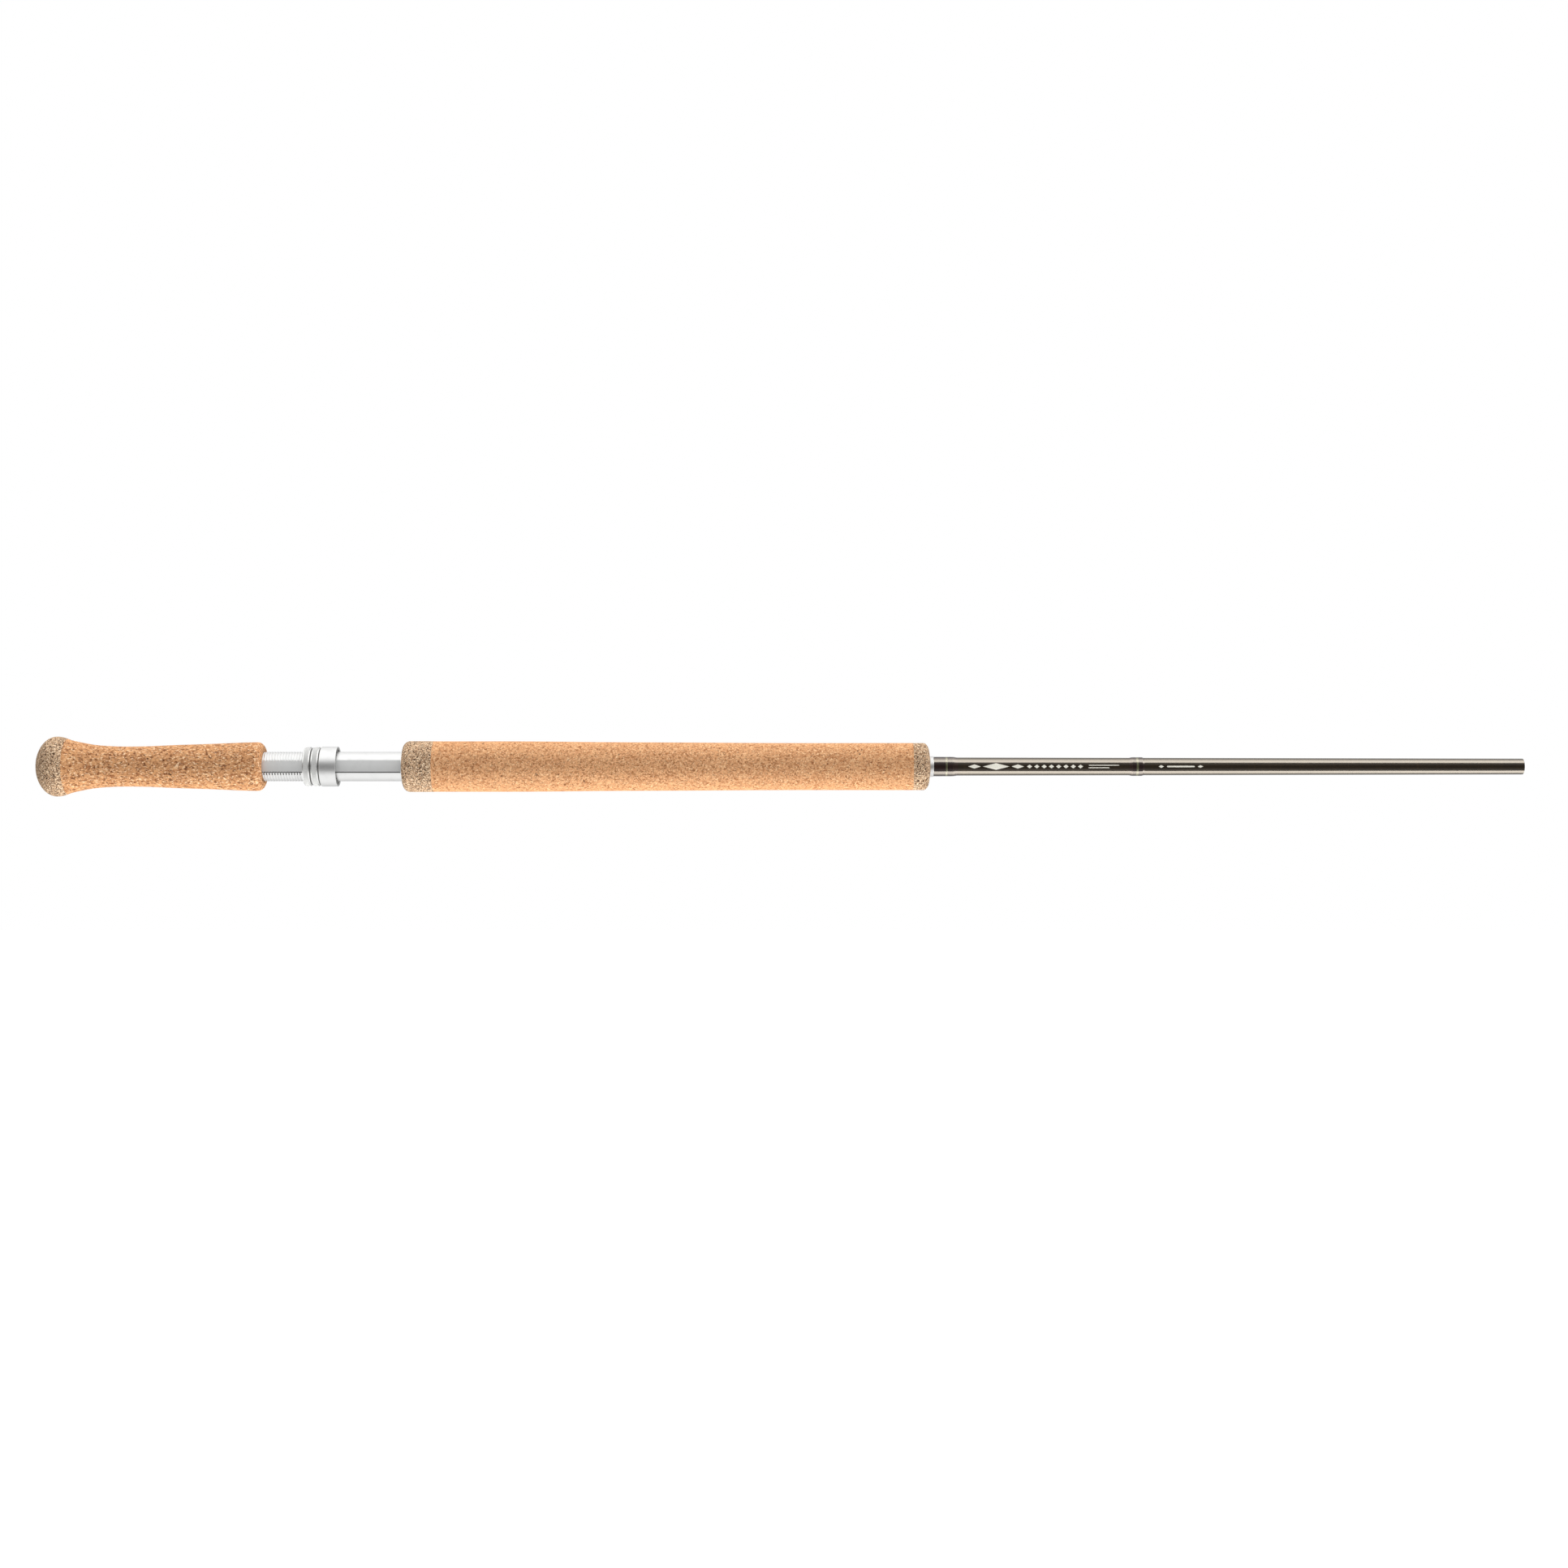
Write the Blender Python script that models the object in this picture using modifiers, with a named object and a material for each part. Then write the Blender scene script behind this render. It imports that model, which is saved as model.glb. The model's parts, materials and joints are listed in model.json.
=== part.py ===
# Butt section of a two-handed fly rod: cork grips, a threaded reel seat and the thick end of the blank.
# The rod lies along X with its butt at -X and its open ferrule end at +X.
# The milled flat of the reel seat faces -Y. Stations are distances along the rod from the butt's apex.

import math

import bmesh
import bpy

mm = 0.001

# whole rod
rod_length = 1065 * mm
grip_sides = 32
tube_sides = 24
running_gap = 0.3 * mm
glue_gap = 0.15 * mm
wrap_gap = 0.08 * mm

# blank: a tapered tube, thick end in the butt cap
blank_start = 8 * mm
blank_radius = 7.82 * mm
blank_tip_radius = 5.68 * mm
blank_wall = 1.6 * mm
blank_tip_wall = 1.1 * mm
plug_length = 12 * mm

# butt cap: a dome that is half an ellipse, then a slow arc down to the seam
cap_crown = 14.5 * mm
cap_radius = 21.5 * mm
cap_shoulder_arc = 17.5 * mm
cap_seam = 22.0 * mm

# lower grip, as (station, radius) knots of a smooth outline, and its front
lower_knots = (
    (22.2 * mm, 19.75 * mm),
    (25.6 * mm, 18.7 * mm),
    (31.4 * mm, 17.4 * mm),
    (40.7 * mm, 15.7 * mm),
    (54.7 * mm, 14.6 * mm),
    (78.0 * mm, 14.55 * mm),
    (98.4 * mm, 15.4 * mm),
    (125.7 * mm, 16.3 * mm),
    (150.0 * mm, 17.3 * mm),
    (158.0 * mm, 17.5 * mm),
)
lower_front = 163.0 * mm
lower_corner = 5.0 * mm

# reel seat barrel, its thread and its flat
barrel_start = 153.5 * mm
barrel_end = 273.0 * mm
barrel_radius = 10.5 * mm
barrel_bore = 8.6 * mm
barrel_chamfer = 0.5 * mm
thread_start = 162.0 * mm
thread_end = 212.0 * mm
thread_pitch = 2.0 * mm
thread_depth = 0.5 * mm
barrel_sides = 24
flat_height = 9.5 * mm
flat_relief = 0.05 * mm
seat_start = 218.0 * mm
seat_end = 258.0 * mm

# tape arbors that centre the barrel on the blank
arbor_count = 4
arbor_length = 14 * mm
arbor_first = 160 * mm
arbor_step = 30 * mm

# lock rings, washers and sliding hood
ring_radius = 14.0 * mm
ring_edge = 0.5 * mm
ring_collar_radius = 13.3 * mm
ring_collar = 0.9 * mm
rear_ring = (192.3 * mm, 197.3 * mm)
ring_washer = (197.5 * mm, 198.0 * mm)
front_ring = (198.2 * mm, 203.35 * mm)
thrust_washer = (203.5 * mm, 203.95 * mm)
washer_radius = 13.1 * mm
hood = (204.1 * mm, 215.9 * mm)
hood_radius = 14.25 * mm
hood_edge = 0.6 * mm
hood_mouth_radius = 13.0 * mm
hood_web = 211.0 * mm
pin_station = 208.9 * mm
pin_radius = 1.0 * mm
pin_sides = 12

# fixed hood: a cup let into the rear of the upper grip
cup = (262.3 * mm, 275.0 * mm)
cup_radius = 13.3 * mm
cup_bore = 12.6 * mm
cup_floor = 273.4 * mm
cup_lip = 0.3 * mm

# upper grip with its two burl rings
rear_burl = (262.8 * mm, 284.4 * mm)
rear_burl_radius = 18.2 * mm
rear_burl_corner = 4.8 * mm
upper_knots = (
    (284.6 * mm, 18.1 * mm),
    (360.0 * mm, 18.0 * mm),
    (400.0 * mm, 17.6 * mm),
    (460.0 * mm, 17.3 * mm),
    (523.0 * mm, 16.95 * mm),
    (627.7 * mm, 16.9 * mm),
)
front_burl = (627.9 * mm, 639.6 * mm)
front_burl_radius = 16.9 * mm
front_burl_nose = (4.4 * mm, 8.2 * mm)

# winding check and thread wraps, as (start, end)
check_ring = (639.75 * mm, 642.5 * mm)
check_radius = 7.9 * mm
hosel_wrap_rear = (642.7 * mm, 651.0 * mm)
hosel_trim_band = (651.05 * mm, 652.3 * mm)
hosel_wrap_front = (652.35 * mm, 656.0 * mm)
hosel_coat = (642.65 * mm, 660.0 * mm)
mid_wrap_rear = (784.9 * mm, 787.35 * mm)
mid_trim_band = (787.4 * mm, 788.95 * mm)
mid_wrap_front = (789.0 * mm, 791.7 * mm)
mid_coat = (782.3 * mm, 793.3 * mm)
wrap_thickness = 0.3 * mm
coat_thickness = 0.25 * mm


def clear_scene():
    for item in list(bpy.data.objects):
        bpy.data.objects.remove(item)


def collection(name):
    group = bpy.data.collections.new(name)
    bpy.context.scene.collection.children.link(group)
    return group


def material(name, colour, roughness, metallic=0.0):
    made = bpy.data.materials.new(name)
    made.use_nodes = True
    shader = made.node_tree.nodes["Principled BSDF"]
    shader.inputs["Base Color"].default_value = (*colour, 1.0)
    shader.inputs["Roughness"].default_value = roughness
    shader.inputs["Metallic"].default_value = metallic
    made.diffuse_color = (*colour, 1.0)
    return made


# the blank's outer radius at a station, on its even taper
def blank_at(station):
    share = (station - blank_start) / (rod_length - blank_start)
    return blank_radius + (blank_tip_radius - blank_radius) * share


# the blank's bore radius at a station
def blank_bore_at(station):
    share = (station - blank_start) / (rod_length - blank_start)
    return blank_at(station) - (blank_wall + (blank_tip_wall - blank_wall) * share)


# points on a smooth curve through (station, radius) knots: cubic Hermite, slopes from the neighbours
def smooth_outline(knots, count):
    slopes = []
    for index in range(len(knots)):
        before = knots[max(index - 1, 0)]
        after = knots[min(index + 1, len(knots) - 1)]
        slopes.append((after[1] - before[1]) / (after[0] - before[0]))
    points = []
    for step in range(count + 1):
        station = knots[0][0] + (knots[-1][0] - knots[0][0]) * step / count
        index = 0
        while index < len(knots) - 2 and station > knots[index + 1][0]:
            index += 1
        start, end = knots[index], knots[index + 1]
        span = end[0] - start[0]
        t = (station - start[0]) / span
        radius = (
            (2 * t**3 - 3 * t**2 + 1) * start[1]
            + (t**3 - 2 * t**2 + t) * span * slopes[index]
            + (3 * t**2 - 2 * t**3) * end[1]
            + (t**3 - t**2) * span * slopes[index + 1]
        )
        points.append((station, radius))
    return points


# points on a quarter ellipse from its side (angle 0) to its end (angle 90), about a centre
def quarter(centre_station, centre_radius, along, across, count, towards_tip=True):
    sign = 1 if towards_tip else -1
    points = []
    for step in range(count + 1):
        angle = math.pi / 2 * step / count
        station = centre_station + sign * along * math.sin(angle)
        points.append((station, centre_radius + across * math.cos(angle)))
    return points


# a ring's section with chamfered outer corners: tip end, down the outside, then the bore
def ring_outline(span, radius, bore, edge):
    start, end = span
    return [
        (end, radius - edge),
        (end - edge, radius),
        (start + edge, radius),
        (start, radius - edge),
        (start, bore),
        (end, bore),
    ]


# a turned piece: (station, radius) points go down the outer side from the tip end, then up the bore
def turned(group, name, outline, look, sides=grip_sides, parent=None):
    bored = outline[0][1] > 0
    mesh = bpy.data.meshes.new(name)
    points = [(radius, 0.0, station) for station, radius in outline]
    edges = [(index, index + 1) for index in range(len(points) - 1)]
    if bored:
        edges.append((len(points) - 1, 0))
    mesh.from_pydata(points, edges, [])
    item = bpy.data.objects.new(name, mesh)
    item.location = (-rod_length / 2, 0, 0)
    item.rotation_euler = (0, math.pi / 2, 0)
    mesh.materials.append(look)
    group.objects.link(item)
    screw = item.modifiers.new("turn", "SCREW")
    screw.axis = "Z"
    screw.angle = 2 * math.pi
    screw.steps = sides
    screw.render_steps = sides
    screw.use_merge_vertices = True
    screw.merge_threshold = 0.00001
    screw.use_smooth_shade = True
    if parent:
        hang(item, parent)
    return item


# an empty on the rod's axis that carries the pieces of one moving body
def carrier(group, name, station, parent=None):
    empty = bpy.data.objects.new(name, None)
    empty.empty_display_size = 0.02
    empty.location = (station - rod_length / 2, 0, 0)
    group.objects.link(empty)
    bpy.context.view_layer.update()
    if parent:
        hang(empty, parent)
    return empty


# a child keeps its world place under its parent
def hang(item, parent):
    bpy.context.view_layer.update()
    item.parent = parent
    item.matrix_parent_inverse = parent.matrix_world.inverted()


def as_cutter(item):
    item.hide_render = True
    item.display_type = "WIRE"


def cut(item, cutter):
    boolean = item.modifiers.new(cutter.name, "BOOLEAN")
    boolean.operation = "DIFFERENCE"
    boolean.object = cutter


# the butt cap: a domed plug of burl cork with a blind bore for the blank
def butt_cap(group, look):
    dome = quarter(cap_crown, 0, cap_crown, cap_radius, 9, towards_tip=False)
    shoulder = []
    for step in range(3):
        away = (cap_seam - cap_crown) * (3 - step) / 3
        drop = cap_shoulder_arc - math.sqrt(cap_shoulder_arc**2 - away**2)
        shoulder.append((cap_crown + away, cap_radius - drop))
    bore = blank_at(cap_seam) + glue_gap + 0.1 * mm
    floor = blank_start - running_gap
    outline = [(floor, 0), (floor, bore), (cap_seam, bore)] + shoulder + dome
    outline[-1] = (0, 0)
    turned(group, "butt_cap", outline, look)


# the plug that closes the blank's butt end, inside the cap
def blank_plug(group, look):
    start = blank_start + running_gap
    end = start + plug_length
    radius = blank_bore_at(end) - glue_gap
    outline = [(end, 0), (end, radius), (start, radius), (start, 0)]
    turned(group, "blank_plug", outline, look, tube_sides)


# the lower grip: waisted cork with a round front corner and a socket for the barrel
def lower_grip(group, look):
    side = smooth_outline(lower_knots, 15)[::-1]
    corner = quarter(lower_front - lower_corner, lower_knots[-1][1] - lower_corner,
                     lower_corner, lower_corner, 4)[::-1]
    start = lower_knots[0][0]
    socket_floor = barrel_start - running_gap
    socket = barrel_radius + glue_gap
    outline = corner[:-1] + side
    outline += [
        (start, blank_at(start) + glue_gap),
        (socket_floor, blank_at(socket_floor) + glue_gap),
        (socket_floor, socket),
        (lower_front, socket),
    ]
    turned(group, "lower_grip", outline, look)


def blank(group, look):
    outline = [
        (rod_length, blank_at(rod_length)),
        (blank_start, blank_at(blank_start)),
        (blank_start, blank_bore_at(blank_start)),
        (rod_length, blank_bore_at(rod_length)),
    ]
    turned(group, "blank", outline, look, tube_sides)


# one ring of corners round the axis
def corners(mesh, station, radius):
    ring = []
    for side in range(barrel_sides):
        angle = 2 * math.pi * side / barrel_sides
        ring.append(mesh.verts.new((radius * math.cos(angle), radius * math.sin(angle), station)))
    return ring


def bridge(mesh, lower, upper):
    for side in range(len(lower)):
        after = (side + 1) % len(lower)
        mesh.faces.new((lower[side], lower[after], upper[after], upper[side]))


# the helix that the thread follows: a groove's near edge, root or far edge, one corner for each side
def helix(mesh, offset, radius):
    count = int((thread_end - thread_start) / thread_pitch * barrel_sides) + 1
    path = []
    for step in range(count):
        angle = 2 * math.pi * step / barrel_sides
        station = thread_start + offset + thread_pitch * step / barrel_sides
        path.append(mesh.verts.new((radius * math.cos(angle), radius * math.sin(angle), station)))
    return path


# the barrel's outer skin from one ring to the next, with a V groove wound round it.
# Each land joins the groove's far edge to its near edge one turn on; the groove's two ends are
# closed by triangles, and the facet beside each end reaches round them.
def threaded_skin(mesh, lower, upper):
    near = helix(mesh, 0, barrel_radius)
    root = helix(mesh, thread_depth, barrel_radius - thread_depth)
    far = helix(mesh, 2 * thread_depth, barrel_radius)
    turn = barrel_sides
    last = len(near) - 1
    for step in range(last):
        after = step + 1
        mesh.faces.new((near[step], near[after], root[after], root[step]))
        mesh.faces.new((root[step], root[after], far[after], far[step]))
        if after + turn <= last:
            mesh.faces.new((far[step], far[after], near[after + turn], near[step + turn]))
    for side in range(turn - 1):
        mesh.faces.new((lower[side], lower[side + 1], near[side + 1], near[side]))
        place = last - turn + 1 + side
        mesh.faces.new((far[place], far[place + 1], upper[(side + 2) % turn], upper[side + 1]))
    mesh.faces.new((lower[turn - 1], lower[0], near[0], far[0], near[turn], near[turn - 1]))
    mesh.faces.new((far[last - turn], far[last - turn + 1], upper[1], upper[0], far[last],
                    near[last]))
    mesh.faces.new((near[0], root[0], far[0]))
    mesh.faces.new((near[last], root[last], far[last]))


# a box that mills the barrel's flat from a start station to an end station, down to a height
def flat_cutter(group, name, start, end, height):
    depth = 2 * barrel_radius
    bpy.ops.mesh.primitive_cube_add(size=1)
    cutter = bpy.context.object
    cutter.name = name
    cutter.scale = (end - start, depth, 3 * barrel_radius)
    cutter.location = ((start + end) / 2 - rod_length / 2, -height - depth / 2, 0)
    for owner in list(cutter.users_collection):
        owner.objects.unlink(cutter)
    group.objects.link(cutter)
    as_cutter(cutter)
    return cutter


# the barrel: a tube with a right-hand thread at its butt end and a flat along its -Y side.
# The flat is a hair deeper under the hoods, so the reel foot's own seat is a face of its own.
def reel_seat_barrel(group, cutters, look):
    solid = bmesh.new()
    rings = [
        corners(solid, barrel_end, barrel_bore),
        corners(solid, barrel_start, barrel_bore),
        corners(solid, barrel_start, barrel_radius - barrel_chamfer),
        corners(solid, barrel_start + barrel_chamfer, barrel_radius),
        corners(solid, barrel_end - barrel_chamfer, barrel_radius),
        corners(solid, barrel_end, barrel_radius - barrel_chamfer),
    ]
    for index in (0, 1, 2, 4):
        bridge(solid, rings[index], rings[index + 1])
    bridge(solid, rings[5], rings[0])
    threaded_skin(solid, rings[3], rings[4])
    bmesh.ops.recalc_face_normals(solid, faces=solid.faces)
    mesh = bpy.data.meshes.new("reel_seat_barrel")
    solid.to_mesh(mesh)
    solid.free()
    mesh.materials.append(look)
    item = bpy.data.objects.new("reel_seat_barrel", mesh)
    item.location = (-rod_length / 2, 0, 0)
    item.rotation_euler = (0, math.pi / 2, 0)
    group.objects.link(item)
    past = 2 * mm
    relief = flat_height - flat_relief
    cut(item, flat_cutter(cutters, "seat_flat", barrel_start - past, barrel_end + past, flat_height))
    cut(item, flat_cutter(cutters, "rear_relief", barrel_start - past, seat_start, relief))
    cut(item, flat_cutter(cutters, "front_relief", seat_end, barrel_end + past, relief))


def tape_arbors(group, look):
    for index in range(arbor_count):
        start = arbor_first + arbor_step * index
        end = start + arbor_length
        outer = barrel_bore - glue_gap
        inner = blank_at(start) + glue_gap
        outline = [(end, outer), (start, outer), (start, inner), (end, inner)]
        turned(group, "tape_arbor_%d" % (index + 1), outline, look, tube_sides)


# a lock ring: a knurled band with a smaller collar at each face
def lock_ring(group, name, span, look, parent):
    start, end = span
    bore = barrel_radius + running_gap
    outline = [
        (end, ring_collar_radius - ring_edge),
        (end - ring_edge, ring_collar_radius),
        (end - ring_collar, ring_collar_radius),
        (end - ring_collar, ring_radius - 0.2 * mm),
        (end - ring_collar - 0.2 * mm, ring_radius),
        (start + ring_collar + 0.2 * mm, ring_radius),
        (start + ring_collar, ring_radius - 0.2 * mm),
        (start + ring_collar, ring_collar_radius),
        (start + ring_edge, ring_collar_radius),
        (start, ring_collar_radius - ring_edge),
        (start, bore),
        (end, bore),
    ]
    turned(group, name, outline, look, parent=parent)


def washer(group, name, span, look, parent):
    start, end = span
    bore = barrel_radius + running_gap
    outline = [(end, washer_radius), (start, washer_radius), (start, bore), (end, bore)]
    turned(group, name, outline, look, parent=parent)


# the sliding hood: a web that runs on the barrel and a mouth that takes the reel foot
def sliding_hood(group, cutters, look, parent):
    start, end = hood
    bore = barrel_radius + running_gap
    outline = [
        (end, hood_radius - hood_edge / 2),
        (end - hood_edge / 2, hood_radius),
        (start + hood_edge, hood_radius),
        (start, hood_radius - hood_edge),
        (start, bore),
        (hood_web, bore),
        (hood_web, hood_mouth_radius),
        (end, hood_mouth_radius),
    ]
    item = turned(group, "sliding_hood", outline, look, parent=parent)
    cut(item, pin_solid(cutters, "pin_hole", pin_radius + glue_gap, barrel_radius - 2 * mm,
                        hood_radius + 2 * mm))


# a short rod square to the flat, from an inner to an outer distance from the axis
def pin_solid(group, name, radius, inner, outer):
    bpy.ops.mesh.primitive_cylinder_add(vertices=pin_sides, radius=radius, depth=outer - inner)
    item = bpy.context.object
    item.name = name
    item.rotation_euler = (math.pi / 2, 0, 0)
    item.location = (pin_station - rod_length / 2, -(inner + outer) / 2, 0)
    for owner in list(item.users_collection):
        owner.objects.unlink(item)
    group.objects.link(item)
    if name == "pin_hole":
        as_cutter(item)
    return item


# the key pin rides over the flat, so the hood slides but cannot turn
def hood_key_pin(group, look, parent):
    inner = flat_height + running_gap
    item = pin_solid(group, "hood_key_pin", pin_radius, inner, hood_radius - 0.1 * mm)
    item.data.materials.append(look)
    hang(item, parent)


# the fixed hood: a cup whose floor has a hole for the blank
def fixed_hood(group, look):
    start, end = cup
    outline = [
        (end, cup_radius),
        (start + cup_lip, cup_radius),
        (start, cup_radius - cup_lip),
        (start, cup_bore + cup_lip),
        (start + cup_lip, cup_bore),
        (cup_floor, cup_bore),
        (cup_floor, blank_at(cup_floor) + glue_gap + 0.1 * mm),
        (end, blank_at(cup_floor) + glue_gap + 0.1 * mm),
    ]
    turned(group, "fixed_hood", outline, look)


# the rear burl ring, with a round corner towards the reel and a pocket for the cup
def rear_burl_ring(group, look):
    start, end = rear_burl
    corner = quarter(start + rear_burl_corner, rear_burl_radius - rear_burl_corner,
                     rear_burl_corner, rear_burl_corner, 5, towards_tip=False)
    pocket = cup_radius + glue_gap
    pocket_floor = cup[1] + glue_gap
    inner = blank_at(start) + glue_gap
    outline = [(end, rear_burl_radius)] + corner + [
        (start, pocket),
        (pocket_floor, pocket),
        (pocket_floor, inner),
        (end, inner),
    ]
    turned(group, "rear_burl_ring", outline, look)


def upper_grip(group, look):
    side = smooth_outline(upper_knots, 10)[::-1]
    start, end = upper_knots[0][0], upper_knots[-1][0]
    outline = side + [(start, blank_at(start) + glue_gap), (end, blank_at(end) + glue_gap)]
    turned(group, "upper_grip", outline, look)


# the front burl ring closes the grip with a quarter ellipse
def front_burl_ring(group, look):
    start, end = front_burl
    along, across = front_burl_nose
    nose = quarter(end - along, front_burl_radius - across, along, across, 5)[::-1]
    inner = blank_at(start) + glue_gap
    outline = nose + [(start, front_burl_radius), (start, inner), (end, inner)]
    turned(group, "front_burl_ring", outline, look)


def winding_check(group, look):
    inner = blank_at(check_ring[0]) + wrap_gap
    outline = ring_outline(check_ring, check_radius, inner, 0.3 * mm)
    turned(group, "winding_check", outline, look, tube_sides)


# one band of winding thread, as a thin sleeve on the blank
def thread_wrap(group, name, span, look):
    start, end = span
    inner = blank_at(start) + wrap_gap
    outer = inner + wrap_thickness
    outline = [(end, outer), (start, outer), (start, inner), (end, inner)]
    turned(group, name, outline, look, tube_sides)


# the varnish over a set of wraps: a thin sleeve that narrows onto the blank past their ends
def wrap_coat(group, name, span, first, last, look, open_start=False):
    start, end = span
    bed = blank_at(first) + wrap_gap
    bore = bed + wrap_thickness + wrap_gap
    crest = bore + coat_thickness
    taper = min(1.5 * mm, end - last)
    outline = [
        (end, blank_at(end) + wrap_gap + 0.12 * mm),
        (last, crest),
        (first, crest),
    ]
    if open_start:
        outline[-1] = (start, crest)
        outline.append((start, bore))
    else:
        outline += [
            (start, blank_at(start) + wrap_gap + 0.12 * mm),
            (start, blank_at(start) + wrap_gap),
            (first - wrap_gap, blank_at(first) + wrap_gap),
            (first - wrap_gap, bore),
        ]
    outline += [
        (last + wrap_gap, bore),
        (last + wrap_gap, blank_at(last) + wrap_gap),
        (last + taper, blank_at(last + taper) + wrap_gap),
    ]
    if last + taper < end - 0.1 * mm:
        outline.append((end, blank_at(end) + wrap_gap))
    turned(group, name, outline, look, tube_sides)


def wraps(group, thread, trim, varnish, check):
    winding_check(group, check)
    thread_wrap(group, "hosel_wrap_rear", hosel_wrap_rear, thread)
    thread_wrap(group, "hosel_trim_band", hosel_trim_band, trim)
    thread_wrap(group, "hosel_wrap_front", hosel_wrap_front, thread)
    wrap_coat(group, "hosel_coat", hosel_coat, hosel_wrap_rear[0], hosel_wrap_front[1], varnish,
              open_start=True)
    thread_wrap(group, "mid_wrap_rear", mid_wrap_rear, thread)
    thread_wrap(group, "mid_trim_band", mid_trim_band, trim)
    thread_wrap(group, "mid_wrap_front", mid_wrap_front, thread)
    wrap_coat(group, "mid_coat", mid_coat, mid_wrap_rear[0], mid_wrap_front[1], varnish)


clear_scene()
rod_group = collection("fly_rod_butt_section")
cutter_group = collection("cutters")

burl_cork = material("burl_cork", (0.38, 0.28, 0.19), 0.85)
flake_cork = material("flake_cork", (0.60, 0.34, 0.16), 0.85)
grip_cork = material("grip_cork", (0.62, 0.38, 0.20), 0.85)
carbon = material("carbon", (0.06, 0.045, 0.03), 0.15)
plug_rubber = material("plug_rubber", (0.05, 0.05, 0.05), 0.7)
anodised = material("anodised", (0.78, 0.78, 0.77), 0.35, 1.0)
knurled = material("knurled", (0.70, 0.70, 0.69), 0.5, 1.0)
pin_steel = material("pin_steel", (0.8, 0.8, 0.8), 0.25, 1.0)
washer_black = material("washer_black", (0.12, 0.12, 0.12), 0.6)
tape = material("tape", (0.75, 0.68, 0.50), 0.9)
dark_thread = material("dark_thread", (0.07, 0.03, 0.03), 0.3)
trim_thread = material("trim_thread", (0.62, 0.66, 0.48), 0.35)
varnish = material("varnish", (0.12, 0.08, 0.06), 0.08)

butt_cap(rod_group, burl_cork)
blank_plug(rod_group, plug_rubber)
lower_grip(rod_group, flake_cork)
blank(rod_group, carbon)
reel_seat_barrel(rod_group, cutter_group, anodised)
tape_arbors(rod_group, tape)
fixed_hood(rod_group, anodised)
rear_burl_ring(rod_group, burl_cork)
upper_grip(rod_group, grip_cork)
front_burl_ring(rod_group, burl_cork)
wraps(rod_group, dark_thread, trim_thread, varnish, anodised)

# the screw train: the hood slides, the front ring turns on it, and the rear ring jams against that
hood_carrier = carrier(rod_group, "hood_slides_here", hood[0])
front_carrier = carrier(rod_group, "front_ring_turns_here", front_ring[0], hood_carrier)
rear_carrier = carrier(rod_group, "rear_ring_turns_here", rear_ring[0], front_carrier)
sliding_hood(rod_group, cutter_group, anodised, hood_carrier)
hood_key_pin(rod_group, pin_steel, hood_carrier)
washer(rod_group, "thrust_washer", thrust_washer, washer_black, hood_carrier)
lock_ring(rod_group, "front_lock_ring", front_ring, knurled, front_carrier)
washer(rod_group, "ring_washer", ring_washer, washer_black, rear_carrier)
lock_ring(rod_group, "rear_lock_ring", rear_ring, knurled, rear_carrier)
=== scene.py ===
import json
from math import cos, pi, radians, sin, tan

import bpy
import numpy as np
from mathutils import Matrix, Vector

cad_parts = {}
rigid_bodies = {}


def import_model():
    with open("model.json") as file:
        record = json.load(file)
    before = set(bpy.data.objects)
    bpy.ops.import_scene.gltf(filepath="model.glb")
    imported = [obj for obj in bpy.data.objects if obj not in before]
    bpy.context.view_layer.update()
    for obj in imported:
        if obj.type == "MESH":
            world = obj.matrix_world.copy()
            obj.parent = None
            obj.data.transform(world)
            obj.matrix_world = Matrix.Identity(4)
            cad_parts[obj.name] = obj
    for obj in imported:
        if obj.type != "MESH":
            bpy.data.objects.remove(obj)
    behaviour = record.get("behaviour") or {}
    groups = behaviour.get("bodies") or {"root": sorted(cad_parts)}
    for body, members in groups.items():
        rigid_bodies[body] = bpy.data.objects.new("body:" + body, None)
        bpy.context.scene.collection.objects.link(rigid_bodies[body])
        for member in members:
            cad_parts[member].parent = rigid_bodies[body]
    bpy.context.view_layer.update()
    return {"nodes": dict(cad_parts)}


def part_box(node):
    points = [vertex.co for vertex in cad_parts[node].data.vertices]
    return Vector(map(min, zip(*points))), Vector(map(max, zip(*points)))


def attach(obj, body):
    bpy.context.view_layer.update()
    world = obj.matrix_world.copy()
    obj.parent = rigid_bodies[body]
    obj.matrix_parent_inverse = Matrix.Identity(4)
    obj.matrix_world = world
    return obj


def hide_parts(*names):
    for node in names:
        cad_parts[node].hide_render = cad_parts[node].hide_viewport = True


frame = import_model()
mm = 0.001

# Lengths are metres. The rod's axis is X, and an angle round it is 0 at the front (-Y), where the
# reel seat's flat is, and grows towards the underside.


# every ring turned through every angle: x = station, y = -radius * cos(angle), z = -radius * sin(angle)
def ringPoints(stations, radii, angles):
    radii = np.broadcast_to(radii, (len(stations), len(angles)))
    x = np.repeat(stations[:, None], len(angles), axis=1)
    return np.stack([x, -radii * np.cos(angles), -radii * np.sin(angles)], axis=-1)


# quads between neighbouring rings; the last column joins the first, and with loop the last ring joins
# the first too
def ringFaces(rings, sides, loop):
    ring = np.arange(rings if loop else rings - 1)[:, None]
    side = np.arange(sides)[None, :]
    after = (ring + 1) % rings
    beside = (side + 1) % sides
    corners = [ring * sides + side, after * sides + side, after * sides + beside, ring * sides + beside]
    return np.stack(np.broadcast_arrays(*corners), axis=-1).reshape(-1, 4)


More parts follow.
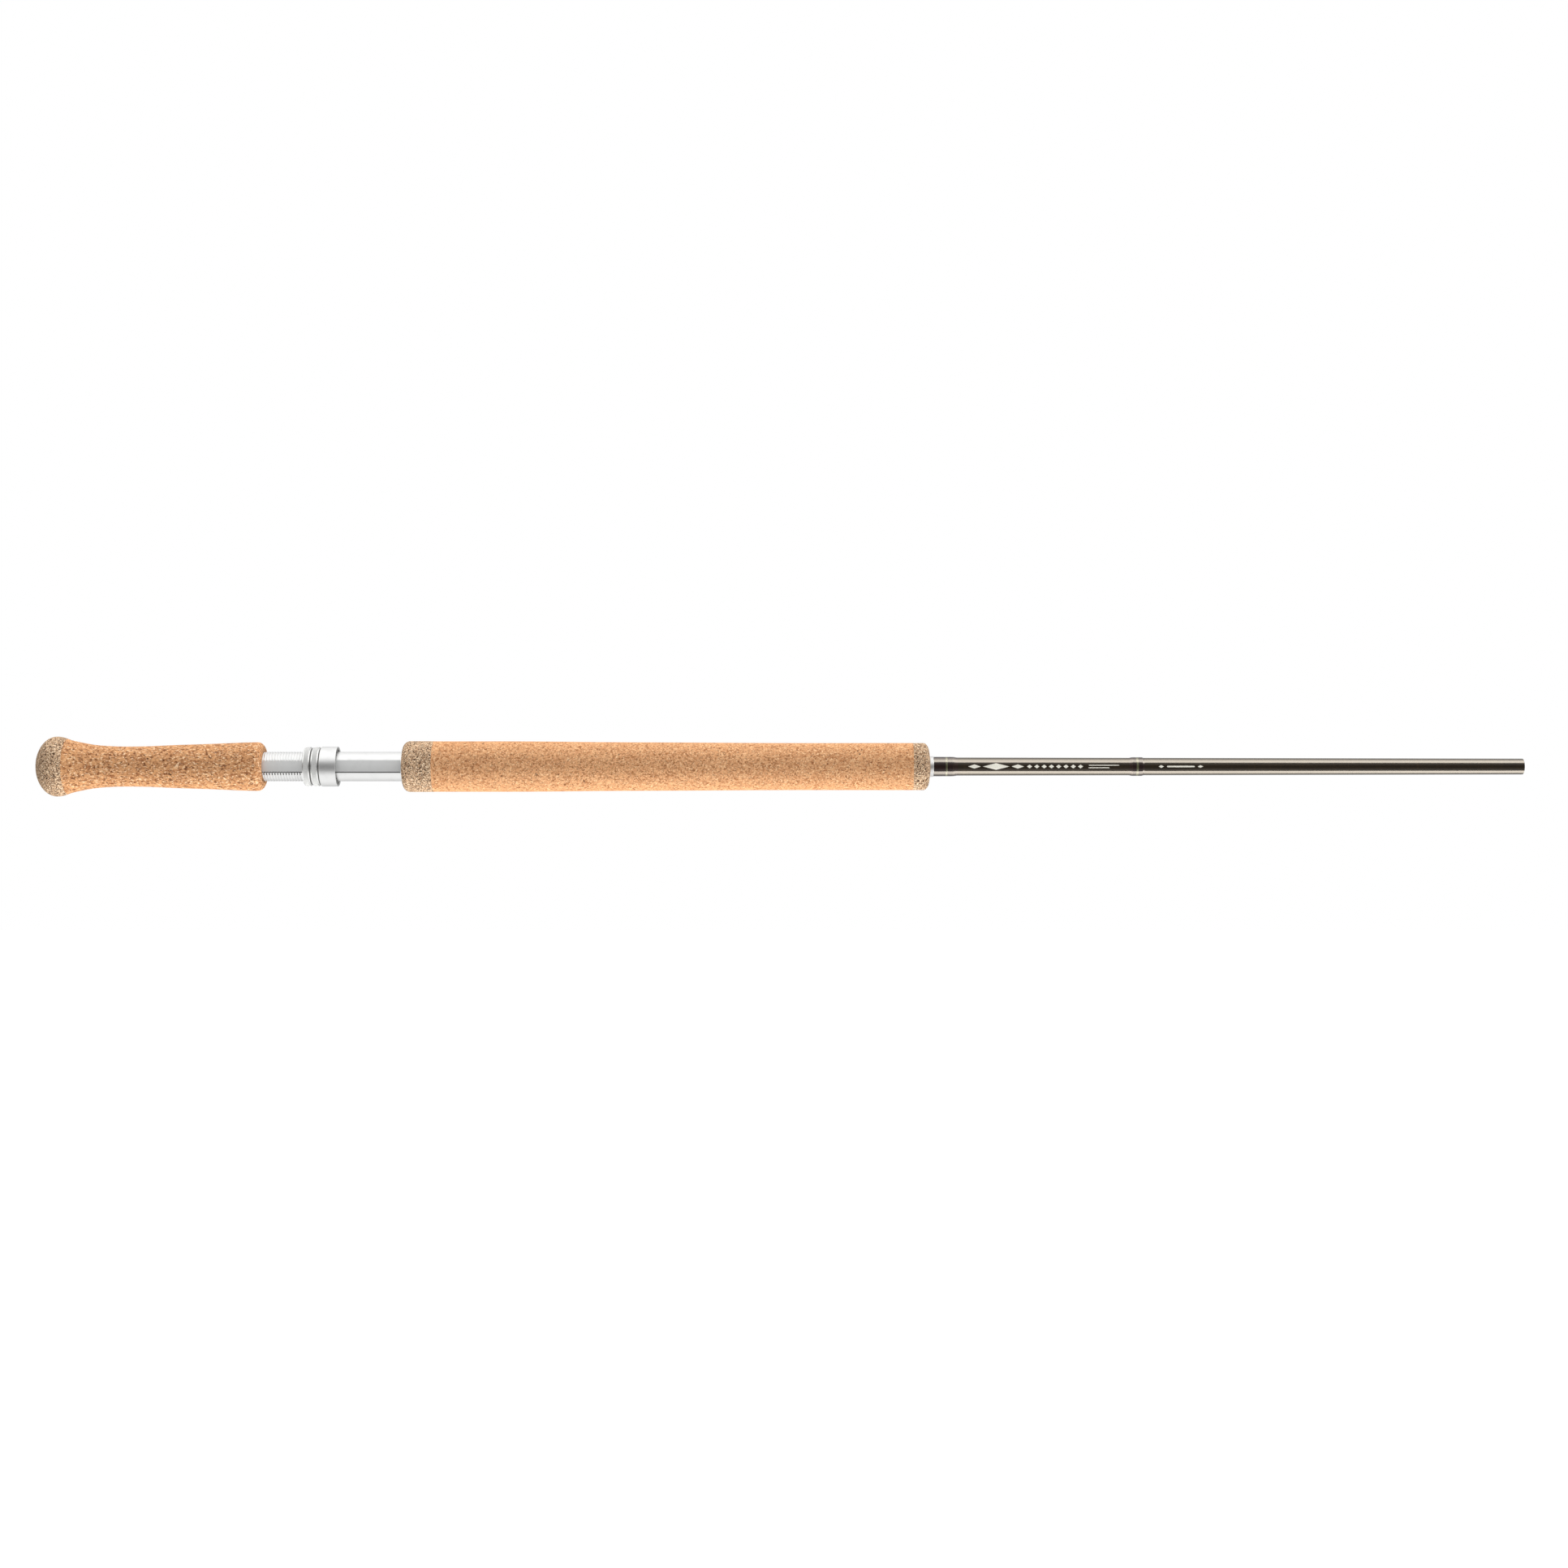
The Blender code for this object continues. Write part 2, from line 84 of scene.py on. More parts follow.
# a mesh object from points and lists of corners; an edge of more than sharp degrees stays hard
def meshPiece(name, points, faces, sharp=40):
    mesh = bpy.data.meshes.new(name)
    mesh.from_pydata(points.tolist(), [], faces)
    mesh.shade_smooth()
    mesh.set_sharp_from_angle(angle=radians(sharp))
    piece = bpy.data.objects.new(name, mesh)
    bpy.context.scene.collection.objects.link(piece)
    return piece


# a skin over a stack of rings, closed at each end by a fan of triangles round one point
def pointedPiece(name, rings, firstPoint, lastPoint, sharp=40):
    count, sides = rings.shape[:2]
    points = np.concatenate([rings.reshape(-1, 3), [firstPoint, lastPoint]])
    side = np.arange(sides)
    beside = (side + 1) % sides
    lastRing = (count - 1) * sides
    first, last = np.full(sides, count * sides), np.full(sides, count * sides + 1)
    firstFan = np.stack([first, side, beside], axis=1)
    lastFan = np.stack([lastRing + side, last, lastRing + beside], axis=1)
    faces = ringFaces(count, sides, False).tolist() + firstFan.tolist() + lastFan.tolist()
    return meshPiece(name, points, faces, sharp)


# a turned piece: an outline of (station, radius) points carried round the axis. The outline goes down
# the outer side from the tip end to the butt end and back through the bore, or it starts and ends on
# the axis. swell(station, angle, radius) adds to the radius.
def turnedPiece(name, outline, angles, swell=None, sharp=40):
    outline = np.array(outline, float)
    stations, radii = outline[:, 0], outline[:, 1:2]
    if swell is not None:
        radii = radii + swell(stations[:, None], angles[None, :], radii)
    rings = ringPoints(stations, radii, angles)
    if outline[0, 1] == 0:
        return pointedPiece(name, rings[1:-1], rings[0, 0], rings[-1, 0], sharp)
    faces = ringFaces(len(stations), len(angles), True).tolist()
    return meshPiece(name, rings.reshape(-1, 3), faces, sharp)


# angles spread evenly round the axis
def evenAngles(count):
    return np.arange(count) * 2 * pi / count


# even angles with a finer run of them over the front
def frontAngles(count, fine, halfWidth):
    front = np.linspace(-halfWidth, halfWidth, fine, endpoint=False)
    rest = np.linspace(halfWidth, 2 * pi - halfWidth, count)[:-1]
    return np.concatenate([front, rest]) % (2 * pi)


# an outline with its corners rounded: each corner becomes the quadratic curve that leaves the side
# before it and joins the side after it a reach away (less where a side is short)
def rounded(corners, reaches, steps=5):
    corners = [np.array(corner, float) for corner in corners]
    reaches = reaches if isinstance(reaches, list) else [reaches] * len(corners)
    points = []
    for index, (corner, reach) in enumerate(zip(corners, reaches)):
        back = corners[index - 1] - corner
        ahead = corners[(index + 1) % len(corners)] - corner
        backLength, aheadLength = np.linalg.norm(back), np.linalg.norm(ahead)
        cut = min(reach, backLength * 0.48, aheadLength * 0.48)
        if cut == 0:
            points.append(corner)
            continue
        start, end = corner + back / backLength * cut, corner + ahead / aheadLength * cut
        for t in np.linspace(0, 1, steps):
            points.append((1 - t) ** 2 * start + 2 * t * (1 - t) * corner + t**2 * end)
    return points


# more points along the long sides of an outline, so that none is longer than step
def subdivided(points, step):
    finer = [np.array(points[0], float)]
    for point in points[1:]:
        start = finer[-1]
        side = np.array(point, float) - start
        count = max(1, int(np.ceil(np.linalg.norm(side) / step)))
        finer += [start + side * t for t in np.linspace(0, 1, count + 1)[1:]]
    return finer


# a smooth curve through (station, radius) knots: cubic Hermite, each slope from the two neighbours
def smoothThrough(knots, count):
    x, r = np.array(knots, float).T
    slope = np.gradient(r, x)
    s = np.linspace(x[0], x[-1], count)
    i = np.clip(np.searchsorted(x, s) - 1, 0, len(x) - 2)
    width = x[i + 1] - x[i]
    t = (s - x[i]) / width
    radius = (
        (2 * t**3 - 3 * t**2 + 1) * r[i]
        + (t**3 - 2 * t**2 + t) * width * slope[i]
        + (3 * t**2 - 2 * t**3) * r[i + 1]
        + (t**3 - t**2) * width * slope[i + 1]
    )
    return np.stack([s, radius], axis=1)


# a quarter round from the front of an end to its side, as (station, radius) points: it starts at
# (end, side - drop) and reaches the side at end - reach. A negative reach turns it to face the butt.
def quarterRound(end, side, reach, drop, count):
    turn = np.linspace(pi / 2, 0, count)
    return np.stack([end - reach * (1 - np.sin(turn)), side - drop * (1 - np.cos(turn))], axis=1)


# 0 below low, 1 above high, and the S curve 3t^2 - 2t^3 between
def smoothStep(low, high, value):
    t = np.clip((value - low) / (high - low), 0, 1)
    return t * t * (3 - 2 * t)


# a screen colour, 0 to 255, as linear light
def ink(red, green, blue):
    value = np.array([red, green, blue]) / 255
    linear = np.where(value <= 0.04045, value / 12.92, ((value + 0.055) / 1.055) ** 2.4)
    return (*linear.tolist(), 1.0)


# one output socket; + - * / and powers of it add Math nodes
class Wire:
    def __init__(self, look, socket):
        self.look = look
        self.socket = socket

    def __add__(self, other):
        return self.look.maths("ADD", self, other)

    def __radd__(self, other):
        return self.look.maths("ADD", other, self)

    def __sub__(self, other):
        return self.look.maths("SUBTRACT", self, other)

    def __rsub__(self, other):
        return self.look.maths("SUBTRACT", other, self)

    def __mul__(self, other):
        return self.look.maths("MULTIPLY", self, other)

    def __rmul__(self, other):
        return self.look.maths("MULTIPLY", other, self)

    def __truediv__(self, other):
        return self.look.maths("DIVIDE", self, other)

    def __pow__(self, other):
        return self.look.maths("POWER", self, other)

    def over(self, low, high):  # 0 below low, 1 above high, smooth between
        return self.look.node("ShaderNodeMapRange", {"interpolation_type": "SMOOTHSTEP"},
                              {"Value": self, "From Min": low, "From Max": high})


# a node material being written, or the nodes of a tree that is there already
class Finish:
    def __init__(self, name, tree=None):
        self.tree = tree
        if tree is None:
            self.material = bpy.data.materials.new(name)
            self.material.use_nodes = True
            self.tree = self.material.node_tree
            self.shader = self.tree.nodes["Principled BSDF"]
            self.place = self.node("ShaderNodeTexCoord", output="Object")

    # any node: its settings first, then the value or link of each input
    def node(self, kind, settings=None, inputs=None, output=0):
        made = self.tree.nodes.new(kind)
        for key, value in (settings or {}).items():
            if key == "stops":
                self.fillRamp(made, value)
            else:
                setattr(made, key, value)
        for key, value in (inputs or {}).items():
            self.feed(made.inputs[key], value)
        return Wire(self, made.outputs[output])

    def feed(self, socket, value):
        if isinstance(value, Wire):
            self.tree.links.new(value.socket, socket)
        else:
            socket.default_value = value

    def fillRamp(self, made, stops):
        elements = made.color_ramp.elements
        while len(elements) < len(stops):
            elements.new(0.5)
        for element, (position, colour) in zip(elements, stops):
            element.position = position
            element.color = colour

    def maths(self, operation, first, second=0.0):
        return self.node("ShaderNodeMath", {"operation": operation}, {0: first, 1: second})

    def mix(self, factor, first, second):
        return self.node("ShaderNodeMix", {"data_type": "RGBA"}, {0: factor, 6: first, 7: second},
                         output=2)

    def ramp(self, factor, *stops):
        return self.node("ShaderNodeValToRGB", {"stops": stops}, {0: factor})

    # a place drawn out or packed along each axis, then moved
    def scaled(self, x, y, z, shift=(0, 0, 0), source=None):
        return self.node("ShaderNodeMapping", None,
                         {"Vector": source or self.place, "Scale": (x, y, z), "Location": shift})

    def noise(self, scale, detail=3.0, roughness=0.5, at=None):
        return self.node("ShaderNodeTexNoise", None, {"Vector": at or self.place, "Scale": scale,
                                                      "Detail": detail, "Roughness": roughness})

    def cells(self, scale, at, feature="F1", output="Distance"):
        return self.node("ShaderNodeTexVoronoi", {"feature": feature}, {"Vector": at, "Scale": scale},
                         output)

    # a place pushed about by noise, so that cells and streaks bend
    def bent(self, source, amount, scale):
        push = self.node("ShaderNodeTexNoise", None, {"Vector": source, "Scale": scale, "Detail": 2.0},
                         output=1)
        centred = self.node("ShaderNodeVectorMath", {"operation": "SUBTRACT"},
                            {0: push, 1: (0.5, 0.5, 0.5)})
        pushed = self.node("ShaderNodeVectorMath", {"operation": "SCALE"}, {0: centred, "Scale": amount})
        return self.node("ShaderNodeVectorMath", {"operation": "ADD"}, {0: source, 1: pushed})

    def bump(self, height, depth, strength=1.0):
        return self.node("ShaderNodeBump", None,
                         {"Height": height, "Distance": depth, "Strength": strength})

    # the shader's own sockets; what a Wire feeds varies over the surface
    def finish(self, **sockets):
        for key, value in sockets.items():
            self.feed(self.shader.inputs[key.replace("_", " ")], value)
        return self.material


# cork: grains of several tones pressed together, with dark and pale specks and a few open pits. grain
# is how many grains there are in a metre, stretch below 1 draws them out along the rod, and bend curls
# them. dark and pale are the noise levels above which a speck shows, so a lower one gives more specks.
corks = {
    "grip": {"grain": 930, "stretch": 0.8, "bend": 0.0006, "seam": 0.3, "pit": 0.85, "tones": 0.95,
             "dark": 0.555, "darkMix": 0.66, "pale": 0.56, "paleMix": 0.66,
             "deepInk": ink(168, 112, 71), "bodyInk": ink(215, 159, 113), "lightInk": ink(230, 179, 131),
             "darkInk": ink(108, 64, 38), "paleInk": ink(252, 212, 166), "pitInk": ink(66, 36, 22)},
    "flake": {"grain": 830, "stretch": 0.55, "bend": 0.0013, "seam": 0.4, "pit": 0.9, "tones": 0.95,
              "dark": 0.54, "darkMix": 0.82, "pale": 0.565, "paleMix": 0.84,
              "deepInk": ink(164, 107, 68), "bodyInk": ink(213, 157, 109), "lightInk": ink(226, 170, 119),
              "darkInk": ink(94, 50, 29), "paleInk": ink(254, 218, 176), "pitInk": ink(48, 24, 16)},
    "burl": {"grain": 960, "stretch": 0.9, "bend": 0.0007, "seam": 0.45, "pit": 0.8, "tones": 1.0,
             "dark": 0.512, "darkMix": 1.0, "pale": 0.54, "paleMix": 1.0,
             "deepInk": ink(146, 113, 87), "bodyInk": ink(196, 161, 127), "lightInk": ink(212, 179, 146),
             "darkInk": ink(58, 39, 28), "paleInk": ink(244, 217, 184), "pitInk": ink(40, 26, 20)},
}


def corkFinish(kind):
    c = corks[kind]
    grain = c["grain"]
    look = Finish("cork_" + kind)
    bent = look.bent(look.scaled(c["stretch"], 1, 1), c["bend"], grain * 0.6)
    # a tone for each grain, and thin seams between some of them
    tone = look.node("ShaderNodeSeparateColor", None, {"Color": look.cells(grain, bent, output="Color")})
    grains = look.ramp(tone, (0.0, c["deepInk"]), (0.4, c["bodyInk"]), (0.7, c["bodyInk"]),
                       (1.0, c["lightInk"]))
    edge = look.cells(grain, bent, "DISTANCE_TO_EDGE")
    seam = (1 - edge.over(0.0, 0.16)) * look.noise(grain * 0.4, 2).over(0.42, 0.6) * c["seam"]
    # dark and pale specks, a little finer than the grains
    darkNoise = look.noise(grain * 1.05, 3, 0.62, at=bent)
    dark = darkNoise.over(c["dark"], c["dark"] + 0.07) * c["darkMix"]
    paleNoise = look.noise(grain * 1.15, 3, 0.6, at=look.scaled(1, 1, 1, (0.31, 0.17, 0.53), bent))
    pale = paleNoise.over(c["pale"], c["pale"] + 0.06) * c["paleMix"]
    # pits, in a few of the larger cells
    pitPick = look.noise(grain * 0.11, 2, 0.6, at=look.scaled(1, 1, 1, (0.9, 0.4, 0.2)))
    pitCells = look.cells(grain * 0.4, look.bent(look.place, 0.0009, 800))
    pit = (1 - pitCells.over(0.16, 0.30)) * pitPick.over(0.60, 0.66) * c["pit"]
    broad = look.noise(32, 3, 0.6)  # slow change of tone along the grip
    colour = look.mix(c["tones"], c["bodyInk"], grains)
    colour = look.mix(broad.over(0.3, 0.75) * 0.12, colour, c["deepInk"])
    colour = look.mix(seam, colour, c["darkInk"])
    colour = look.mix(dark, colour, c["darkInk"])
    colour = look.mix(pale, colour, c["paleInk"])
    colour = look.mix(pit, colour, c["pitInk"])
    height = edge.over(0.0, 0.2) * 0.25 + look.noise(2600, 3, 0.6) * 0.3 + pale * 0.2
    height = height - pit * 1.2 - dark * 0.5
    rough = 0.78 + look.noise(900, 2) * 0.16
    return look.finish(Base_Color=colour, Roughness=rough, Specular_IOR_Level=0.2,
                       Normal=look.bump(height, 0.00016, 0.7))


# anodised metal: a silver body, faint lines from the tool and a few finger marks. lines is how many of
# them there are in a metre and lineDepth how deep they are; stretch runs them round the axis or along
# it.
around, along = (1, 0.02, 0.02), (0.04, 1, 1)
metals = {
    "satin": {"tint": ink(240, 240, 239), "rough": 0.30, "metal": 1.0,
              "lines": 5200, "lineDepth": 0.00002, "stretch": around},
    # the flat's colour is darkened towards its lower edge: painted shade
    "flat": {"tint": ink(242, 243, 242), "rough": 0.52, "metal": 0.65, "paintedShade": 0.25,
             "lines": 900, "lineDepth": 0.000012, "stretch": along},
    # a dark metal painted along the flat's lower edge and into the thread's cut ends there: painted shade
    "burr": {"tint": ink(116, 116, 115), "rough": 0.5, "metal": 1.0,
             "lines": 900, "lineDepth": 0.000012, "stretch": around},
    "knurl": {"tint": ink(202, 202, 200), "rough": 0.55, "metal": 0.2,
              "lines": 3000, "lineDepth": 0.000015, "stretch": around},
    "rim": {"tint": ink(245, 245, 243), "rough": 0.18, "metal": 1.0,
            "lines": 6500, "lineDepth": 0.000008, "stretch": around},
    "pin": {"tint": ink(232, 232, 230), "rough": 0.22, "metal": 1.0,
            "lines": 4200, "lineDepth": 0.00001, "stretch": around},
}


def metalFinish(kind):
    m = metals[kind]
    look = Finish("metal_" + kind)
    lines = look.noise(m["lines"], 2, 0.7, at=look.scaled(*m["stretch"]))
    smudge = look.noise(140, 3, 0.6)
    colour = look.mix(smudge.over(0.45, 0.8) * 0.12, m["tint"], ink(190, 190, 190))
    if "paintedShade" in m:  # painted shade: the milled face's colour is darkened towards its lower edge
        height = look.node("ShaderNodeSeparateXYZ", None, {"Vector": look.place}, output=2)
        colour = look.mix(m["paintedShade"] * (1 - height.over(-0.006, 0.005)), colour, ink(120, 120, 120))
    rough = m["rough"] + lines * 0.08 + smudge.over(0.4, 0.8) * 0.07
    return look.finish(Base_Color=colour, Metallic=m["metal"], Roughness=rough,
                       Normal=look.bump(lines, m["lineDepth"], 0.6))


# winding thread under varnish: fine ridges round the blank, a tone for each turn, painted light on the
# ridges' crests and painted shade between them, a clear gloss coat
# each thread has a shaded and a lit copy of its colour: painted shade in the dips, painted light on the
# crests
threads = {
    "dark": {"shaded": ink(18, 5, 4), "lit": ink(36, 13, 10), "pitch": 0.00022, "sheen": 0.02},
    "trim": {"shaded": ink(30, 26, 15), "lit": ink(80, 82, 50), "pitch": 0.00022, "sheen": 0.16},
}
clearCoat = {"Coat_Weight": 1.0, "Coat_IOR": 1.42}


# a ridge is |sin(pi * station / pitch)|
def threadFinish(kind):
    t = threads[kind]
    look = Finish("thread_" + kind)
    station = look.node("ShaderNodeSeparateXYZ", None, {"Vector": look.place})
    ridge = look.maths("ABSOLUTE", look.maths("SINE", station * (pi / t["pitch"])))
    strand = look.noise(1 / t["pitch"], 0, at=look.scaled(*around))
    fibre = look.noise(9000, 2, at=look.scaled(0.6, 1, 1))
    # painted light and shade: each turn's colour runs from shaded in the dips to lit on the ridge's
    # crest, mixed with the thread's own strand and fibre tones
    colour = look.mix(ridge * 0.45 + strand * 0.4 + fibre * 0.15, t["shaded"], t["lit"])
    height = ridge * 0.7 + fibre * 0.2
    look.finish(**clearCoat, Coat_Roughness=0.07, Specular_IOR_Level=t["sheen"])
    return look.finish(Base_Color=colour, Roughness=0.45 + fibre * 0.15,
                       Normal=look.bump(height, 0.00004, 0.7))


# the blank: dark olive-brown clear coat over carbon, with fine sanding rings and a little weave
def carbonFinish():
    look = Finish("carbon_blank")
    weave = look.noise(2600, 3, 0.6, at=look.scaled(0.015, 1, 1))
    rings = look.noise(420, 2, 0.5, at=look.scaled(1, 0.05, 0.05))
    colour = look.mix(weave.over(0.35, 0.75) * 0.6, ink(30, 21, 10), ink(50, 39, 24))
    colour = look.mix(rings.over(0.5, 0.8) * 0.25, colour, ink(62, 49, 31))
    look.finish(**clearCoat, Coat_Roughness=0.06, Coat_Tint=ink(255, 250, 238), Specular_IOR_Level=0.06)
    return look.finish(Base_Color=colour, Roughness=0.30 + weave * 0.1,
                       Normal=look.bump(rings * 0.6 + weave * 0.2, 0.00002, 0.35))


# bare varnish where it tapers off onto the blank
def varnishFinish():
    look = Finish("wrap_varnish")
    flow = look.noise(260, 2, 0.5)
    colour = look.mix(flow.over(0.3, 0.8) * 0.5, ink(34, 18, 12), ink(52, 34, 24))
    look.finish(**clearCoat, Coat_Roughness=0.04, Specular_IOR_Level=0.06)
    return look.finish(Base_Color=colour, Roughness=0.3 + flow * 0.1,
                       Normal=look.bump(flow, 0.00003, 0.4))


# one grain in two tones: the dull black of the washers, the plug's rubber, crepe tape wound in a roll,
# and the sawn layers of the blank's end and bore. Roughness is rough + spread * grain.
grained = {
    "washer_black": {"grain": 4200, "stretch": (1, 1, 1), "from": 0.3, "rough": 0.4, "spread": 0.2,
                     "dark": ink(86, 85, 85), "light": ink(116, 114, 112), "depth": 0.00003},
    "plug_rubber": {"grain": 2600, "stretch": (1, 1, 1), "from": 0.3, "rough": 0.75, "spread": 0.15,
                    "dark": ink(30, 30, 31), "light": ink(52, 51, 50), "depth": 0.00004},
    "arbor_tape": {"grain": 1500, "stretch": (1, 0.25, 0.25), "from": 0.3, "rough": 0.8, "spread": 0.1,
                   "dark": ink(206, 190, 146), "light": ink(232, 220, 184), "depth": 0.00008},
    "blank_cut_end": {"grain": 5200, "stretch": (0.1, 1, 1), "from": 0.35, "rough": 0.7, "spread": 0.2,
                      "dark": ink(32, 28, 26), "light": ink(78, 70, 62), "depth": 0.00005},
}


def grainedFinish(kind):
    g = grained[kind]
    look = Finish(kind)
    grain = look.noise(g["grain"], 3, 0.6, at=look.scaled(*g["stretch"]))
    colour = look.mix(grain.over(g["from"], 0.7), g["dark"], g["light"])
    return look.finish(Base_Color=colour, Roughness=g["rough"] + grain * g["spread"],
                       Normal=look.bump(grain, g["depth"]))


# ivory paint under the clear coat
def pinstripeFinish():
    look = Finish("pinstripe_ivory")
    grain = look.noise(3800, 3, 0.6)
    colour = look.mix(grain.over(0.35, 0.7), ink(226, 222, 208), ink(244, 242, 232))
    look.finish(Coat_Weight=0.6, Coat_Roughness=0.1)
    return look.finish(Base_Color=colour, Roughness=0.3 + grain * 0.15,
                       Normal=look.bump(grain, 0.00001, 0.4))


burlCork, flakeCork, gripCork = corkFinish("burl"), corkFinish("flake"), corkFinish("grip")
satin, flatMetal, knurlMetal = metalFinish("satin"), metalFinish("flat"), metalFinish("knurl")
shadeEdgeMetal, rimMetal, pinMetal = metalFinish("burr"), metalFinish("rim"), metalFinish("pin")
darkThread, trimThread = threadFinish("dark"), threadFinish("trim")
carbon, cutEnd, varnish = carbonFinish(), grainedFinish("blank_cut_end"), varnishFinish()
washerBlack, plugRubber = grainedFinish("washer_black"), grainedFinish("plug_rubber")
arborTape, pinstripe = grainedFinish("arbor_tape"), pinstripeFinish()
glossLooks = (carbon, darkThread, trimThread, varnish, pinstripe)
print("finishes written")


# a new piece stands for its CAD nodes: it takes the looks given, the nodes are hidden, and it rides on
# their body
def standIn(piece, slotName, body, nodes, *looks):
    for look in looks:
        piece.data.materials.append(look)
    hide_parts(*nodes)
    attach(piece, body)


# gives another of a piece's looks to the faces whose middles pick(station, radius, angle) chooses
def paintFaces(piece, lookIndex, pick):
    polygons = piece.data.polygons
    middles = np.zeros(len(polygons) * 3)
    polygons.foreach_get("center", middles)
    x, y, z = middles.reshape(-1, 3).T
    index = np.zeros(len(polygons), int)
    polygons.foreach_get("material_index", index)
    index[pick(x, np.hypot(y, z), np.arctan2(-z, -y))] = lookIndex
    polygons.foreach_set("material_index", index)


# lowest and highest station of a CAD node, and its radius
def span(node):
    low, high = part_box(node)
    return low.x, high.x, max(high.z, -low.z)


glueGap = 0.15 * mm  # between a bore and what is glued into it
corkJoint = 0.09 * mm  # how far each cork reaches into its glued joint

blankLow, blankHigh, blankButtRadius = span("blank")
blank = {"tipRadius": 5.68 * mm, "tipWall": 1.1 * mm, "buttWall": 1.6 * mm, "edge": 0.15 * mm,
         "sides": 128, "rings": 90}


# the blank's even taper: butt radius + (tip radius - butt radius) * share of the length
def blankRadius(station):
    share = (station - blankLow) / (blankHigh - blankLow)
    return blankButtRadius + (blank["tipRadius"] - blankButtRadius) * share


# the dome is half an ellipse behind the crown and a slow arc from the crown to the seam
buttCap = {"crown": 14.5 * mm, "shoulderArc": 17.5 * mm, "boreGap": 0.2 * mm, "floorGap": 0.3 * mm,
           "sides": 160, "domeRings": 60, "shoulderRings": 14}


# shoulder: radius - arc + sqrt(arc^2 - away^2); dome: crown * sin(turn) back, radius * cos(turn) out
def makeButtCap():
    low, high, radius = span("butt_cap")
    high += corkJoint
    crown, arc = low + buttCap["crown"], buttCap["shoulderArc"]
    away = np.linspace(high - crown, 0, buttCap["shoulderRings"])
    shoulder = np.stack([crown + away, radius - arc + np.sqrt(arc**2 - away**2)], axis=1)
    turn = np.linspace(0, pi / 2, buttCap["domeRings"])[1:]
    dome = np.stack([crown - buttCap["crown"] * np.sin(turn), radius * np.cos(turn)], axis=1)
    inner = blankRadius(high) + buttCap["boreGap"]
    floor = blankLow - buttCap["floorGap"]
    bore = [(floor, 0), (floor, inner), (high, inner)]
    piece = turnedPiece("butt_cap_cork", np.concatenate([bore, shoulder, dome]),
                        evenAngles(buttCap["sides"]))
    standIn(piece, "burl_cork", "rod", ["butt_cap"], burlCork)


# the lower grip flares out to the cap, has a waist, and swells to a round front corner; the knots are
# (millimetres from the cap, radius in millimetres)
lowerGrip = {
    "knots": [(0.0, 19.75), (3.4, 18.7), (9.2, 17.4), (18.5, 15.7), (32.5, 14.6), (55.8, 14.55),
              (76.2, 15.4), (103.5, 16.3), (127.8, 17.3), (135.8, 17.5)],
    "corner": 5.0 * mm, "mouth": 0.5 * mm, "seatGap": 0.3 * mm, "sides": 160, "rings": 150,
}


def makeLowerGrip():
    low, high, _ = span("lower_grip")
    low -= corkJoint
    side = smoothThrough([(low + x * mm, r * mm) for x, r in lowerGrip["knots"]], lowerGrip["rings"])
    side = side[::-1]
    corner = quarterRound(high, side[0, 1], lowerGrip["corner"], lowerGrip["corner"], 12)
    seatLow, _, seatRadius = span("reel_seat_barrel")
    socket, seatEnd, mouth = seatRadius + glueGap, seatLow - lowerGrip["seatGap"], lowerGrip["mouth"]
    bore = [(low, blankRadius(low) + glueGap), (seatEnd, blankRadius(seatLow) + glueGap),
            (seatEnd, socket), (high - mouth, socket), (high - mouth / 3, socket + mouth / 3),
            (high, socket + mouth)]
    piece = turnedPiece("lower_grip_cork", np.concatenate([corner[:-1], side, bore]),
                        evenAngles(lowerGrip["sides"]))
    standIn(piece, "flake_cork", "rod", ["lower_grip"], flakeCork)


# the corks' edges at a glued joint are eased by this much in radius, over this much in length
ease = {"drop": 0.01 * mm, "length": 0.1 * mm}
rearBurl = {"corner": 4.8 * mm, "pocketEdge": 0.2 * mm, "sides": 160, "step": 1.0 * mm}


def makeRearBurl():
    low, high, radius = span("rear_burl_ring")
    high += corkJoint
    _, cupHigh, cupRadius = span("fixed_hood")
    pocket, floor = cupRadius + glueGap, cupHigh + glueGap
    edge, reach = rearBurl["pocketEdge"], rearBurl["corner"]
    corner = quarterRound(low, radius, -reach, reach, 14)[::-1]
    side = subdivided([(high, radius - ease["drop"]), (high - ease["length"], radius), *corner],
                      rearBurl["step"])
    inner = blankRadius(low) + glueGap
    face = [(low, pocket + edge), (low + edge, pocket), (floor, pocket), (floor, inner), (high, inner)]
    piece = turnedPiece("rear_burl_cork", np.concatenate([side, face]), evenAngles(rearBurl["sides"]))
    standIn(piece, "burl_cork", "rod", ["rear_burl_ring"], burlCork)


# the upper grip thins very slowly from the seat to the blank
upperGrip = {
    "knots": [(0.0, 18.1), (75.4, 18.0), (115.4, 17.6), (175.4, 17.3), (238.4, 16.95), (343.1, 16.9)],
    "sides": 160, "rings": 260,
}


def makeUpperGrip():
    low, high, _ = span("upper_grip")
    low, high = low - corkJoint, high + corkJoint
    side = smoothThrough([(low + x * mm, r * mm) for x, r in upperGrip["knots"]], upperGrip["rings"])
    side[-1, 0] = high
    side[[0, -1], 1] -= ease["drop"]
    bore = [(low, blankRadius(low) + glueGap), (high, blankRadius(high) + glueGap)]
    piece = turnedPiece("upper_grip_cork", np.concatenate([side[::-1], bore]),
                        evenAngles(upperGrip["sides"]))
    standIn(piece, "grip_cork", "rod", ["upper_grip"], gripCork)


frontBurl = {"along": 4.4 * mm, "across": 8.2 * mm, "sides": 160, "step": 0.8 * mm}


